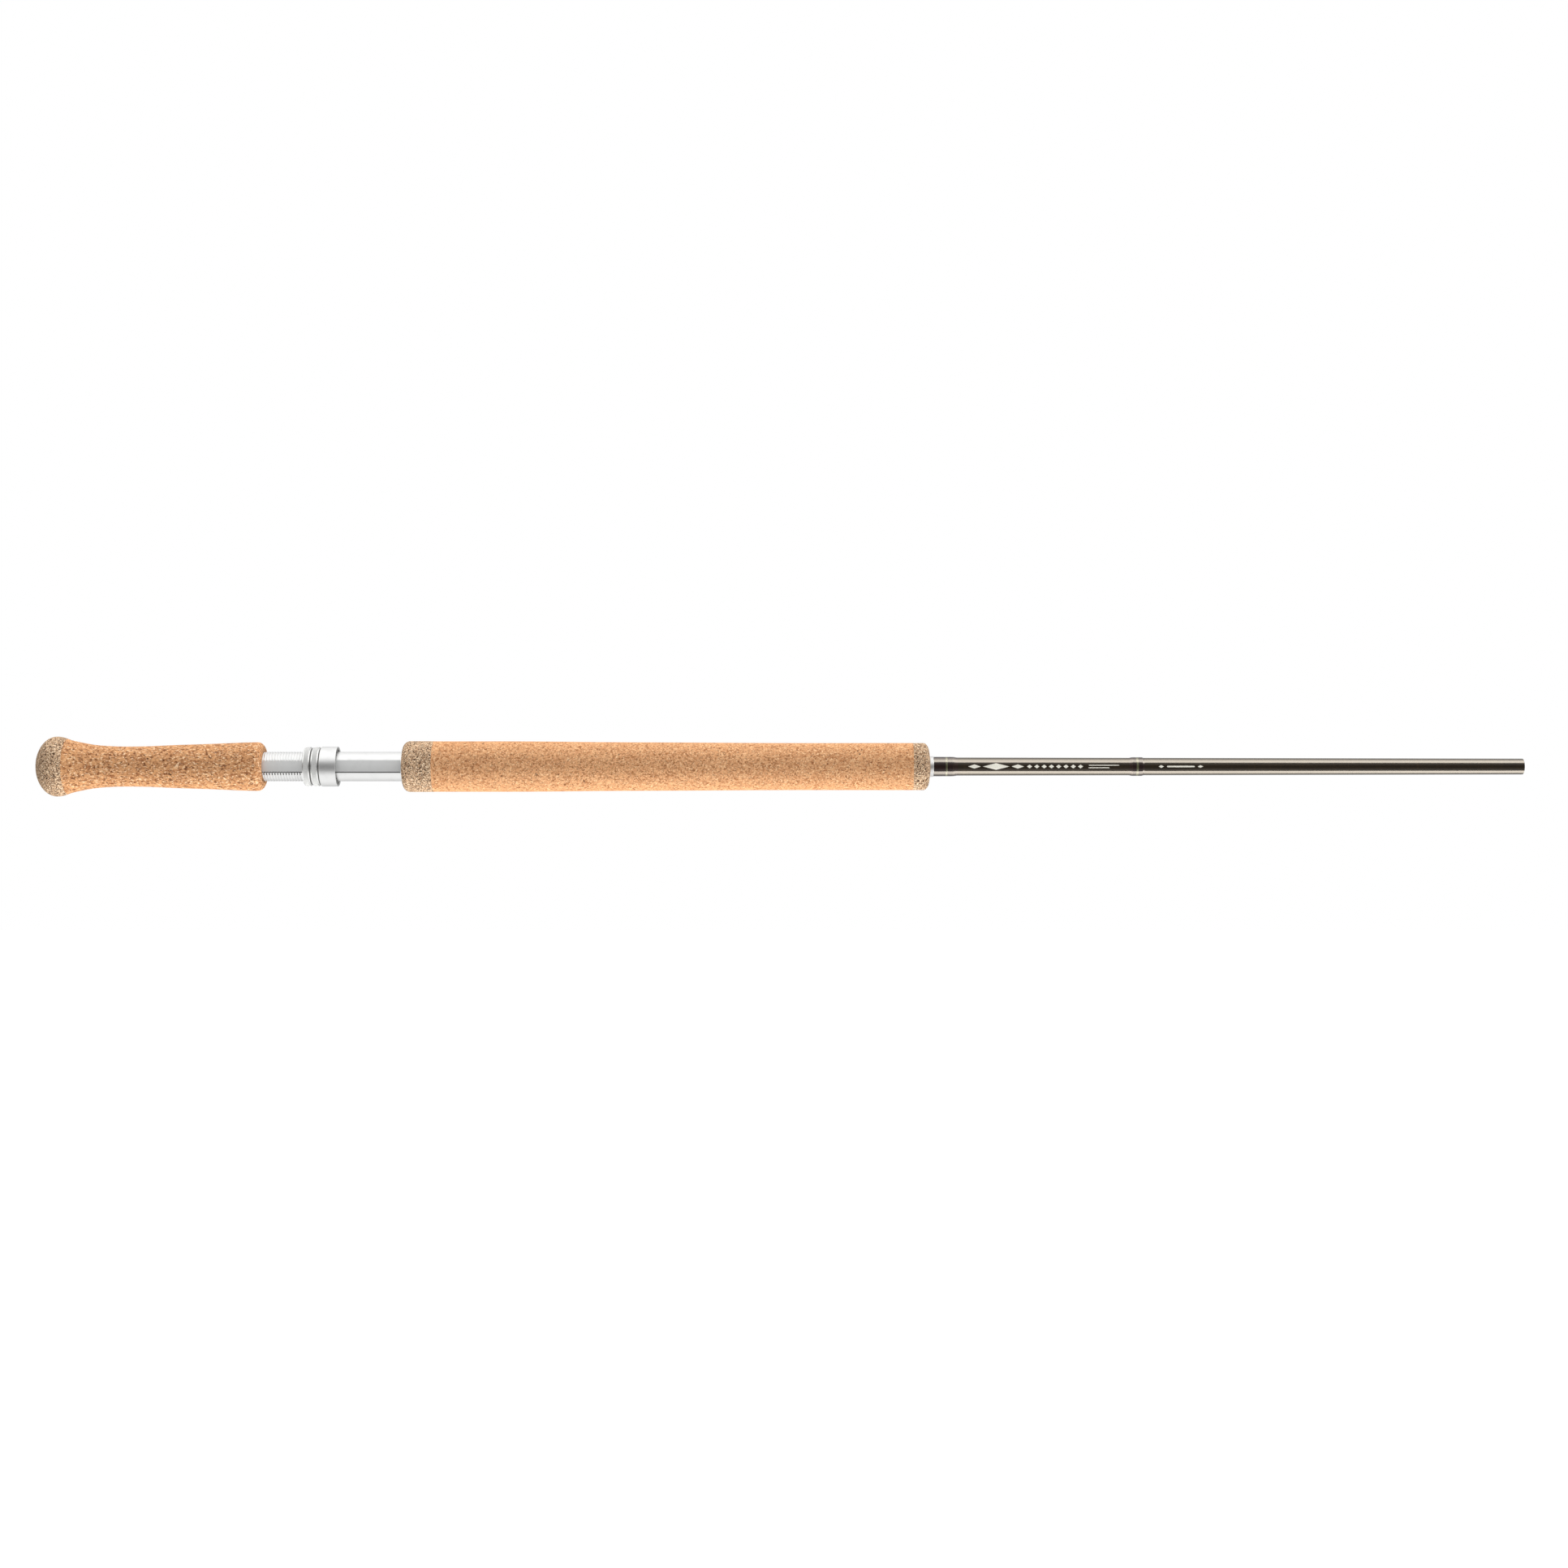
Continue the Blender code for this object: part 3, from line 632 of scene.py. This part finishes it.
def makeFrontBurl():
    low, high, radius = span("front_burl_ring")
    low -= corkJoint
    nose = quarterRound(high, radius, frontBurl["along"], frontBurl["across"], 18)
    side = subdivided([nose[-1], (low + ease["length"], radius), (low, radius - ease["drop"])],
                      frontBurl["step"])
    inner = blankRadius(low) + glueGap
    outline = np.concatenate([nose[:-1], side, [(low, inner), (high, inner)]])
    piece = turnedPiece("front_burl_cork", outline, evenAngles(frontBurl["sides"]))
    standIn(piece, "burl_cork", "rod", ["front_burl_ring"], burlCork)


makeButtCap()
makeLowerGrip()
makeRearBurl()
makeUpperGrip()
makeFrontBurl()
print("grips made")


# The barrel's radius is its crest, less a rounded V that winds round it once in each pitch, and then
# whatever the flat leaves: flat height / cos(angle). Starts and lengths are from the barrel's butt end.
# burr and teeth are how far round, in radians, the painted shade goes: a dark strip along the flat's
# lower edge, and the thread's cut ends beside it.
barrel = {"threadStart": 8.5 * mm, "threadLength": 50 * mm, "pitch": 2.0 * mm, "depth": 0.5 * mm,
          "bore": 8.6 * mm, "chamfer": 0.5 * mm, "flat": 9.5 * mm, "edge": 0.004, "burr": 0.06,
          "teeth": 0.2, "sides": 132, "flatSides": 20, "plainRings": 14, "perPitch": 10}


# depth of the groove: turns = stations past the start in pitches, less the share of a turn; the V is
# 1 - |turns % 1 - 0.25| / 0.3, eased, and fades in and out over 0.6 of a turn at the ends
def threadGroove(station, angle, start):
    turns = (station - start) / barrel["pitch"] - (angle / (2 * pi) - 0.25)
    runOut = turns - barrel["threadLength"] / barrel["pitch"]
    inside = smoothStep(0, 0.6, turns) * (1 - smoothStep(-0.6, 0, runOut))
    return barrel["depth"] * inside * smoothStep(0, 1, 1 - np.abs((turns % 1) - 0.25) / 0.3)


def makeBarrel():
    low, high, crest = span("reel_seat_barrel")
    flat, edge, chamfer, pitch = barrel["flat"], barrel["edge"], barrel["chamfer"], barrel["pitch"]
    halfWidth = np.arccos(flat / crest)
    angles = np.concatenate([
        np.linspace(-halfWidth + edge, halfWidth - barrel["burr"], barrel["flatSides"]),
        np.linspace(halfWidth + edge, 2 * pi - halfWidth - edge, barrel["sides"]),
    ])
    start = low + barrel["threadStart"]
    end = start + barrel["threadLength"]
    threadRings = int((barrel["threadLength"] / pitch + 1) * barrel["perPitch"])
    stations = np.concatenate([
        [high, high - chamfer],
        np.linspace(high - pitch, end + pitch, barrel["plainRings"]),
        np.linspace(end + pitch, start, threadRings),
        [low + chamfer, low],
    ])
    radii = np.full((len(stations), len(angles)), crest)
    radii[[0, -1]] = crest - chamfer
    radii[2:-2] -= threadGroove(stations[2:-2, None], angles[None, :], start)
    radii = np.minimum(radii, flat / np.maximum(np.cos(angles), 0.05))
    bore = ringPoints(np.array([low, high]), barrel["bore"], angles)
    points = np.concatenate([ringPoints(stations, radii, angles), bore])
    faces = ringFaces(len(points), len(angles), True).tolist()
    piece = meshPiece("seat_barrel", points.reshape(-1, 3), faces, sharp=28)
    standIn(piece, "anodised_aluminium", "rod", ["reel_seat_barrel"], satin, flatMetal, shadeEdgeMetal)

    def onFlat(station, radius, angle):
        return np.abs(radius * np.cos(angle) - flat) < 0.02 * mm

    def onShadeEdge(station, radius, angle):
        near = radius * np.cos(angle) > flat - 0.3 * mm
        return near & (angle > halfWidth - barrel["burr"]) & (angle < halfWidth + edge)

    def onTeeth(station, radius, angle):
        cut = radius < crest - 0.2 * mm
        return cut & (angle > halfWidth) & (angle < halfWidth + barrel["teeth"])

    paintFaces(piece, 1, onFlat)
    # painted shade: a dark metal on the flat's lower edge and in the thread's cut ends beside it
    paintFaces(piece, 2, onShadeEdge)
    paintFaces(piece, 2, onTeeth)


# A lock ring's band carries a diamond knurl: two sets of slanting grooves, left and right handed. The
# band lies between two plain collars, and the bore clears the thread.
lockRing = {"teeth": 92, "slant": 1.05, "depth": 0.16 * mm, "perTooth": 6, "rings": 26,
            "fade": 0.35 * mm, "collar": 0.9 * mm, "collarDrop": 0.5 * mm, "faceDepth": 1.2 * mm,
            "bore": 10.8 * mm, "chamfer": 0.25 * mm}


# a groove is the triangle wave of (tooth count round the band +- tooth lengths along it); the deeper of
# the two hands counts, and both fade out at the band's edges
def knurlGroove(station, angle, radius, low, high):
    tooth = 2 * pi * radius / lockRing["teeth"]
    turned = angle * lockRing["teeth"] / (2 * pi)
    slid = (station - low) / tooth * lockRing["slant"]
    right = np.abs((turned + slid) % 1 - 0.5) * 2
    left = np.abs((turned - slid) % 1 - 0.5) * 2
    groove = 1 - np.minimum(smoothStep(0, 0.55, 1 - right), smoothStep(0, 0.55, 1 - left))
    fade = lockRing["fade"]
    inside = smoothStep(low, low + fade, station) * (1 - smoothStep(high - fade, high, station))
    return lockRing["depth"] * groove * inside


def makeLockRing(node, body):
    low, high, radius = span(node)
    shoulder = radius - lockRing["collarDrop"]
    foot = shoulder - lockRing["faceDepth"]
    bandLow, bandHigh = low + lockRing["collar"], high - lockRing["collar"]
    reaches = [0, 0.3 * mm, 0.08 * mm, 0.12 * mm]
    tipSide = rounded([(high, foot), (high, shoulder), (bandHigh, shoulder), (bandHigh, radius)],
                      reaches, 4)
    buttSide = rounded([(bandLow, radius), (bandLow, shoulder), (low, shoulder), (low, foot)],
                       reaches[::-1], 4)
    stations = np.linspace(bandHigh - 0.15 * mm, bandLow + 0.15 * mm, lockRing["rings"])
    band = np.stack([stations, np.full(len(stations), radius)], axis=1)
    bore, chamfer = lockRing["bore"], lockRing["chamfer"]
    inside = [(low, bore + chamfer), (low + chamfer, bore),
              (high - chamfer, bore), (high, bore + chamfer)]

    def cutKnurl(station, angle, at):
        return -knurlGroove(station, angle, radius, bandLow, bandHigh) * (at > radius - 0.1 * mm)

    def onBand(station, at, angle):
        return at > shoulder + 0.08 * mm

    piece = turnedPiece(node + "_knurled", np.concatenate([tipSide, band, buttSide, inside]),
                        evenAngles(lockRing["teeth"] * lockRing["perTooth"]), cutKnurl, 50)
    standIn(piece, "knurled_aluminium", body, [node], rimMetal, knurlMetal)
    paintFaces(piece, 1, onBand)


washer = {"bore": 10.8 * mm, "edge": 0.12 * mm, "sides": 128}


# a flat disc with a hole and rounded edges
def makeWasher(node, body):
    low, high, radius = span(node)
    bore = washer["bore"]
    outline = rounded([(high, radius), (low, radius), (low, bore), (high, bore)], washer["edge"], 4)
    piece = turnedPiece(node + "_disc", outline, evenAngles(washer["sides"]))
    standIn(piece, "washer_black", body, [node], washerBlack)


# The sliding hood is a turned cup; round the key pin its skin dips into the pin's hole.
hood = {"bore": 10.8 * mm, "mouth": 13.0 * mm, "web": 6.9 * mm, "lip": 0.35 * mm, "edge": 0.8 * mm,
        "inside": 0.3 * mm, "mouthFloor": 0.5 * mm, "step": 0.22 * mm,
        "pinFromButt": 4.8 * mm, "pinHole": 1.08 * mm, "holeDepth": 0.06 * mm, "pinCrown": 0.25 * mm}


def makeSlidingHood():
    low, high, radius = span("sliding_hood")
    web, bore, mouth = low + hood["web"], hood["bore"], hood["mouth"]
    outline = rounded(
        [(high, radius), (low, radius), (low, bore), (web, bore), (web, mouth), (high, mouth)],
        [hood["lip"], hood["edge"], hood["inside"], hood["inside"], hood["mouthFloor"], hood["lip"]], 6)

    # the dip is flat out to the hole's edge, and only on the outer skin
    def pinDip(station, angle, at):
        across = ((angle + pi) % (2 * pi) - pi) * radius
        away = np.hypot(station - low - hood["pinFromButt"], across)
        dip = 1 - smoothStep(hood["pinHole"] - 0.1 * mm, hood["pinHole"], away)
        return -hood["holeDepth"] * dip * (at > radius - 0.1 * mm)

    piece = turnedPiece("sliding_hood_shell", subdivided(outline, hood["step"]),
                        frontAngles(150, 70, 0.16), pinDip, 38)
    standIn(piece, "anodised_aluminium", "hood", ["sliding_hood"], satin)


# the pin is turned round an axis along Y: its foot is in the hood's wall and its head is a low dome,
# crown * cos(turn) out and radius * sin(turn) across
def makeKeyPin():
    low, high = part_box("hood_key_pin")
    reach, foot, radius = -low.y, -high.y, (high.x - low.x) / 2
    turn = np.linspace(pi / 2, 0, 8)
    out = np.append(foot, reach - hood["pinCrown"] * (1 - np.cos(turn)))
    across = np.append(radius, radius * np.sin(turn))
    middle = (low.x + high.x) / 2
    angles = evenAngles(40)
    x = middle + across[:, None] * np.cos(angles)
    z = across[:, None] * np.sin(angles)
    y = np.broadcast_to(-out[:, None], x.shape)
    rings = np.stack([x, y, z], axis=-1)
    piece = pointedPiece("key_pin_head", rings[:-1], (middle, -foot, 0), (middle, -reach, 0))
    standIn(piece, "pin_steel", "hood", ["hood_key_pin"], pinMetal)


fixedHood = {"bore": 12.6 * mm, "floor": 11.1 * mm, "lip": 0.3 * mm, "bottom": 0.6 * mm,
             "back": 0.1 * mm, "blankGap": 0.25 * mm, "brightLip": 0.4 * mm, "sides": 160,
             "step": 1.0 * mm}


# a turned cup, open towards the butt, whose lip is brighter than its side
def makeFixedHood():
    low, high, radius = span("fixed_hood")
    floor, bore = low + fixedHood["floor"], fixedHood["bore"]
    inner = blankRadius(floor) + fixedHood["blankGap"]
    lip, back = fixedHood["lip"], fixedHood["back"]
    outline = rounded(
        [(high, radius), (low, radius), (low, bore), (floor, bore), (floor, inner), (high, inner)],
        [lip, lip, lip, fixedHood["bottom"], back, back], 6)
    piece = turnedPiece("fixed_hood_cup", subdivided(outline, fixedHood["step"]),
                        evenAngles(fixedHood["sides"]), sharp=38)
    standIn(piece, "anodised_aluminium", "rod", ["fixed_hood"], satin, rimMetal)

    def onLip(station, at, angle):
        return station < low + fixedHood["brightLip"]

    paintFaces(piece, 1, onLip)


makeBarrel()
makeLockRing("rear_lock_ring", "rear_ring")
makeWasher("ring_washer", "washer")
makeLockRing("front_lock_ring", "front_ring")
makeWasher("thrust_washer", "hood")
makeSlidingHood()
makeKeyPin()
makeFixedHood()
print("reel seat made")


# the tube's end face and its bore show the cut layers
def makeBlank():
    edge = blank["edge"]
    stations = np.linspace(blankHigh - edge, blankLow + 2 * edge, blank["rings"])
    side = np.stack([stations, blankRadius(stations)], axis=1)
    tip, butt = blankRadius(blankHigh), blankRadius(blankLow)
    outline = np.concatenate([
        [(blankHigh, tip - blank["tipWall"]), (blankHigh, tip - edge)], side,
        [(blankLow, butt - 2 * edge), (blankLow, butt - blank["buttWall"])],
    ])
    piece = turnedPiece("blank_tube", outline, evenAngles(blank["sides"]), sharp=35)
    standIn(piece, "carbon_blank", "rod", ["blank"], carbon, cutEnd)

    def onCut(station, radius, angle):
        return (station > blankHigh - 0.05 * mm) | (radius < blankRadius(station) - 0.5 * mm)

    paintFaces(piece, 1, onCut)


check = {"radius": 7.4 * mm, "groove": 0.12 * mm, "slope": 0.5 * mm, "slopeDrop": 0.3 * mm,
         "blankGap": 0.08 * mm, "sides": 128}


# a short collar with a V groove round its middle and a sloping front
def makeWindingCheck():
    low, high, _ = span("winding_check")
    inner = blankRadius(low) + check["blankGap"]
    radius, dip = check["radius"], check["groove"]
    middle = (low + high) / 2
    outline = rounded(
        [(high, inner), (high, radius - check["slopeDrop"]), (high - check["slope"], radius),
         (middle + dip, radius), (middle, radius - dip), (middle - dip, radius), (low, radius),
         (low, inner)],
        [0, 0.25 * mm, 0.4 * mm, 0.05 * mm, 0.05 * mm, 0.05 * mm, 0.3 * mm, 0])
    piece = turnedPiece("winding_check_ring", outline, evenAngles(check["sides"]), sharp=38)
    standIn(piece, "anodised_aluminium", "rod", ["winding_check"], satin)


# varnished thread: a sleeve that swells a little in the middle of each band. Neighbouring bands overlap
# by overlap, and the sleeve's inside stands gap off the blank.
wrap = {"thickness": 0.42 * mm, "swell": 0.03 * mm, "overlap": 0.02 * mm, "gap": 0.05 * mm,
        "sides": 128, "rings": 24}


# outer radius = blank + thickness + swell * 4 * share * (1 - share)
def makeWrap(node, look, slotName, meetsBefore, meetsAfter):
    low, high, _ = span(node)
    low -= wrap["overlap"] * meetsBefore
    stations = np.linspace(high + wrap["overlap"] * meetsAfter, low, wrap["rings"])
    share = (stations - low) / (high - low)
    outer = blankRadius(stations) + wrap["thickness"] + wrap["swell"] * 4 * share * (1 - share)
    inner = blankRadius(low) + wrap["gap"]
    outline = np.concatenate([np.stack([stations, outer], axis=1), [(low, inner), (high, inner)]])
    piece = turnedPiece(node + "_thread", outline, evenAngles(wrap["sides"]))
    standIn(piece, slotName, "rod", [node], look)


coat = {"film": 0.012 * mm, "gap": 0.004 * mm, "sides": 128, "rings": 22}


# the varnish past a wrap's end falls to the blank on an S curve: thickness * (1 - (3t^2 - 2t^3)) + film
def taperOutline(wrapEnd, coatEnd):
    stations = np.linspace(wrapEnd, coatEnd, coat["rings"])
    t = np.linspace(0, 1, coat["rings"])
    outer = blankRadius(stations) + wrap["thickness"] * (1 - smoothStep(0, 1, t)) + coat["film"]
    inner = blankRadius(stations) + coat["gap"]
    side, bore = np.stack([stations, outer], axis=1), np.stack([stations, inner], axis=1)[[0, -1]]
    if coatEnd > wrapEnd:
        return np.concatenate([side[::-1], bore])
    return np.concatenate([side, bore[::-1]])


def makeCoat(node, tapers):
    angles = evenAngles(coat["sides"])
    points, faces = [], []
    for wrapEnd, coatEnd in tapers:
        outline = taperOutline(wrapEnd, coatEnd)
        offset = sum(len(part) for part in points)
        points.append(ringPoints(outline[:, 0], outline[:, 1:2], angles).reshape(-1, 3))
        faces += (ringFaces(len(outline), len(angles), True) + offset).tolist()
    piece = meshPiece(node + "_varnish", np.concatenate(points), faces)
    standIn(piece, "wrap_varnish", "rod", [node], varnish)


def makeWraps():
    for place in ("hosel", "mid"):
        makeWrap(place + "_wrap_rear", darkThread, "dark_thread", False, True)
        makeWrap(place + "_trim_band", trimThread, "trim_thread", True, True)
        makeWrap(place + "_wrap_front", darkThread, "dark_thread", True, False)
    makeCoat("hosel_coat", [(span("hosel_wrap_front")[1], span("hosel_coat")[1])])
    makeCoat("mid_coat", [(span("mid_wrap_rear")[0], span("mid_coat")[0]),
                          (span("mid_wrap_front")[1], span("mid_coat")[1])])


# plain ivory ornament on the front of the blank, as (start, length, half width, shape, height) in
# millimetres: a shape of 1 tapers like a lozenge, a large one is a stripe with round ends. Starts are
# from the hosel's end and heights from the middle.
ornament = {
    "lift": 0.03 * mm, "thickness": 0.02 * mm, "rings": 61, "columns": 9,
    "lozenges": [(7.0, 9.0, 1.5, 1, 0), (17.5, 19.0, 2.4, 1, 0), (38.0, 9.0, 1.5, 1, 0),
                 (143.0, 4.0, 1.0, 1, 0), (171.0, 4.0, 1.0, 1, 0)],
    "beads": {"first": 49.0, "step": 5.2, "count": 8, "length": 3.8, "width": 1.35},
    "stripes": [(93.0, 22.0, 0.28, 18, 0.9), (93.0, 15.0, 0.28, 18, -0.9), (149.0, 20.0, 0.55, 18, 0)],
}


# one mark: half width = width * (1 - |2t - 1| ^ shape) ^ (1 or 1 / 2) along it, bent round the blank,
# with a skin on top and a back underneath
def makeMark(index, start, length, width, shape, height):
    t = np.linspace(0, 1, ornament["rings"])
    t = (1 - np.cos(t * pi)) / 2 if shape > 1 else t
    half = width * mm * (1 - np.abs(2 * t - 1) ** shape) ** (0.5 if shape > 1 else 1.0)
    stations = start + length * mm * t
    across = np.linspace(-1, 1, ornament["columns"])
    top = (blankRadius(stations) + ornament["lift"])[:, None]
    turn = (half[:, None] * across - height * mm) / top
    backTurn = turn[:, -2:0:-1]
    under = top - ornament["thickness"]
    y = -np.concatenate([top * np.cos(turn), under * np.cos(backTurn)], axis=1)
    z = -np.concatenate([top * np.sin(turn), under * np.sin(backTurn)], axis=1)
    x = np.broadcast_to(stations[:, None], y.shape)
    rings = np.stack([x, y, z], axis=-1)
    middle = ornament["columns"] // 2
    piece = pointedPiece("pinstripe_%02d" % index, rings[1:-1], rings[0, middle], rings[-1, middle])
    piece.data.materials.append(pinstripe)
    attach(piece, "rod")


def makeOrnament():
    origin = span("hosel_coat")[1]
    beads = ornament["beads"]
    starts = [beads["first"] + beads["step"] * n for n in range(beads["count"])]
    row = [(start, beads["length"], beads["width"], 1, 0) for start in starts]
    for index, (start, *sizes) in enumerate(ornament["lozenges"] + row + ornament["stripes"]):
        makeMark(index, origin + start * mm, *sizes)


makeBlank()
makeWindingCheck()
makeWraps()
makeOrnament()
for node, look in [("blank_plug", plugRubber)] + [("tape_arbor_%d" % n, arborTape) for n in range(1, 5)]:
    kept = frame["nodes"][node]
    kept.data.materials.clear()
    kept.data.materials.append(look)
print("blank and wraps made")


studio = {"floorDrop": 0.6, "floorSize": 16.0, "floorGlow": 0.75, "distance": 1.746, "lens": 55.9,
          "sensor": 36.0, "lookX": 0.0029, "lookZ": -0.0125}

# the room's brightness round the rod's axis (0 at the front, 0.5 above and below, 1 behind): a soft dim
# patch round the camera and another behind, and bright between. Below the rod the room is dimmer, and
# so is the light that reaches the butt's side.
room = [(0.0, 0.24), (0.015, 0.28), (0.08, 0.72), (0.15, 1.22), (0.60, 1.22), (0.75, 0.98), (0.90, 0.98),
        (0.97, 0.55), (1.0, 0.42)]
dimming = {"below": 0.14, "everywhere": 0.02, "buttSide": 0.5}

# long soft lights above and below. The washes light the cork and aren't mirrored in the metal; the
# highlights are mirrored in the blank's gloss only. A strip is (1 above or -1 below, the angle of its
# middle from the front, its width in degrees, its power). Each highlight has a dimmer outer neighbour,
# which carries the pale band on to the blank's edge.
washes = {"away": 0.5, "length": 1.4, "tint": (1, 1, 1), "strips": [(1, 78, 38, 3.4), (-1, 78, 38, 5.4)]}
highlights = {"away": 0.46, "length": 2.2, "tint": (1.0, 0.91, 0.78),
              "strips": [(1, 72, 38, 34), (1, 104, 26, 5.5), (-1, 79, 36, 33), (-1, 108, 22, 4)]}


# area lights that face the rod's axis from away metres; a strip's width is 2 * away * tan(angle / 2)
def makeStrips(name, lights):
    made = []
    for side, angle, width, power in lights["strips"]:
        data = bpy.data.lights.new(name, "AREA")
        data.shape = "RECTANGLE"
        data.size = lights["length"]
        data.size_y = 2 * lights["away"] * tan(radians(width / 2))
        data.energy = power
        data.color = lights["tint"]
        light = bpy.data.objects.new(name, data)
        turn = radians(angle)
        light.location = (0, -lights["away"] * cos(turn), side * lights["away"] * sin(turn))
        light.rotation_euler = (pi / 2 - side * turn, 0, 0)
        light.visible_camera = False
        bpy.context.scene.collection.objects.link(light)
        made.append(light)
    return made


def makeLights():
    for light in makeStrips("wash", washes):
        light.visible_glossy = False
    glossy = bpy.data.collections.new("glossy_pieces")
    for piece in bpy.data.objects:
        if piece.type == "MESH" and piece.data.materials and piece.data.materials[0] in glossLooks:
            glossy.objects.link(piece)
    for light in makeStrips("highlight", highlights):
        light.visible_diffuse = False
        light.light_linking.receiver_collection = glossy


# brightness by y / sqrt(y^2 + z^2), the turn round the axis; the camera itself sees plain white
def makeRoom():
    world = bpy.data.worlds.new("studio_room")
    world.use_nodes = True
    bpy.context.scene.world = world
    sky = Finish("studio_sky", world.node_tree)
    direction = sky.node("ShaderNodeSeparateXYZ", None,
                         {"Vector": sky.node("ShaderNodeTexCoord", output="Generated")})
    x, y, z = (Wire(sky, direction.socket.node.outputs[axis]) for axis in range(3))
    turned = y / (y * y + z * z + 0.0001) ** 0.5
    black = (0, 0, 0, 1)
    stops = [(position, (value, value, value, 1)) for position, value in room]
    glow = sky.ramp(turned * 0.5 + 0.5, *stops)
    below = sky.mix(dimming["below"] * (1 - z.over(-0.5, 0.5)), glow, black)
    dim = dimming["everywhere"] + dimming["buttSide"] * (1 - x.over(-0.9, 0.0))
    ray = sky.node("ShaderNodeLightPath").socket.node.outputs
    soft = sky.mix(Wire(sky, ray["Is Diffuse Ray"]), below, sky.mix(dim, below, black))
    seen = sky.mix(Wire(sky, ray["Is Camera Ray"]), soft, (1, 1, 1, 1))
    sky.feed(world.node_tree.nodes["Background"].inputs["Color"], seen)


def makeFloor():
    half, drop = studio["floorSize"] / 2, -studio["floorDrop"]
    corners = [(-half, -half, drop), (half, -half, drop), (half, half, drop), (-half, half, drop)]
    floor = meshPiece("floor", np.array(corners), [(0, 1, 2, 3)])
    look = Finish("floor_white")
    colour = look.mix(look.noise(40, 2), ink(246, 246, 246), ink(252, 252, 252))
    floor.data.materials.append(look.finish(
        Base_Color=colour, Roughness=0.9, Emission_Color=(1, 1, 1, 1),
        Emission_Strength=studio["floorGlow"]))
    floor.visible_glossy = False
    floor.visible_diffuse = False


def makeCamera():
    data = bpy.data.cameras.new("camera")
    data.lens = studio["lens"]
    data.sensor_width = studio["sensor"]
    camera = bpy.data.objects.new("camera", data)
    camera.location = (studio["lookX"], -studio["distance"], studio["lookZ"])
    camera.rotation_euler = (pi / 2, 0, 0)
    bpy.context.scene.collection.objects.link(camera)
    bpy.context.scene.camera = camera


makeRoom()
makeLights()
makeFloor()
makeCamera()
bpy.context.scene.view_settings.view_transform = "Standard"
print("studio made")
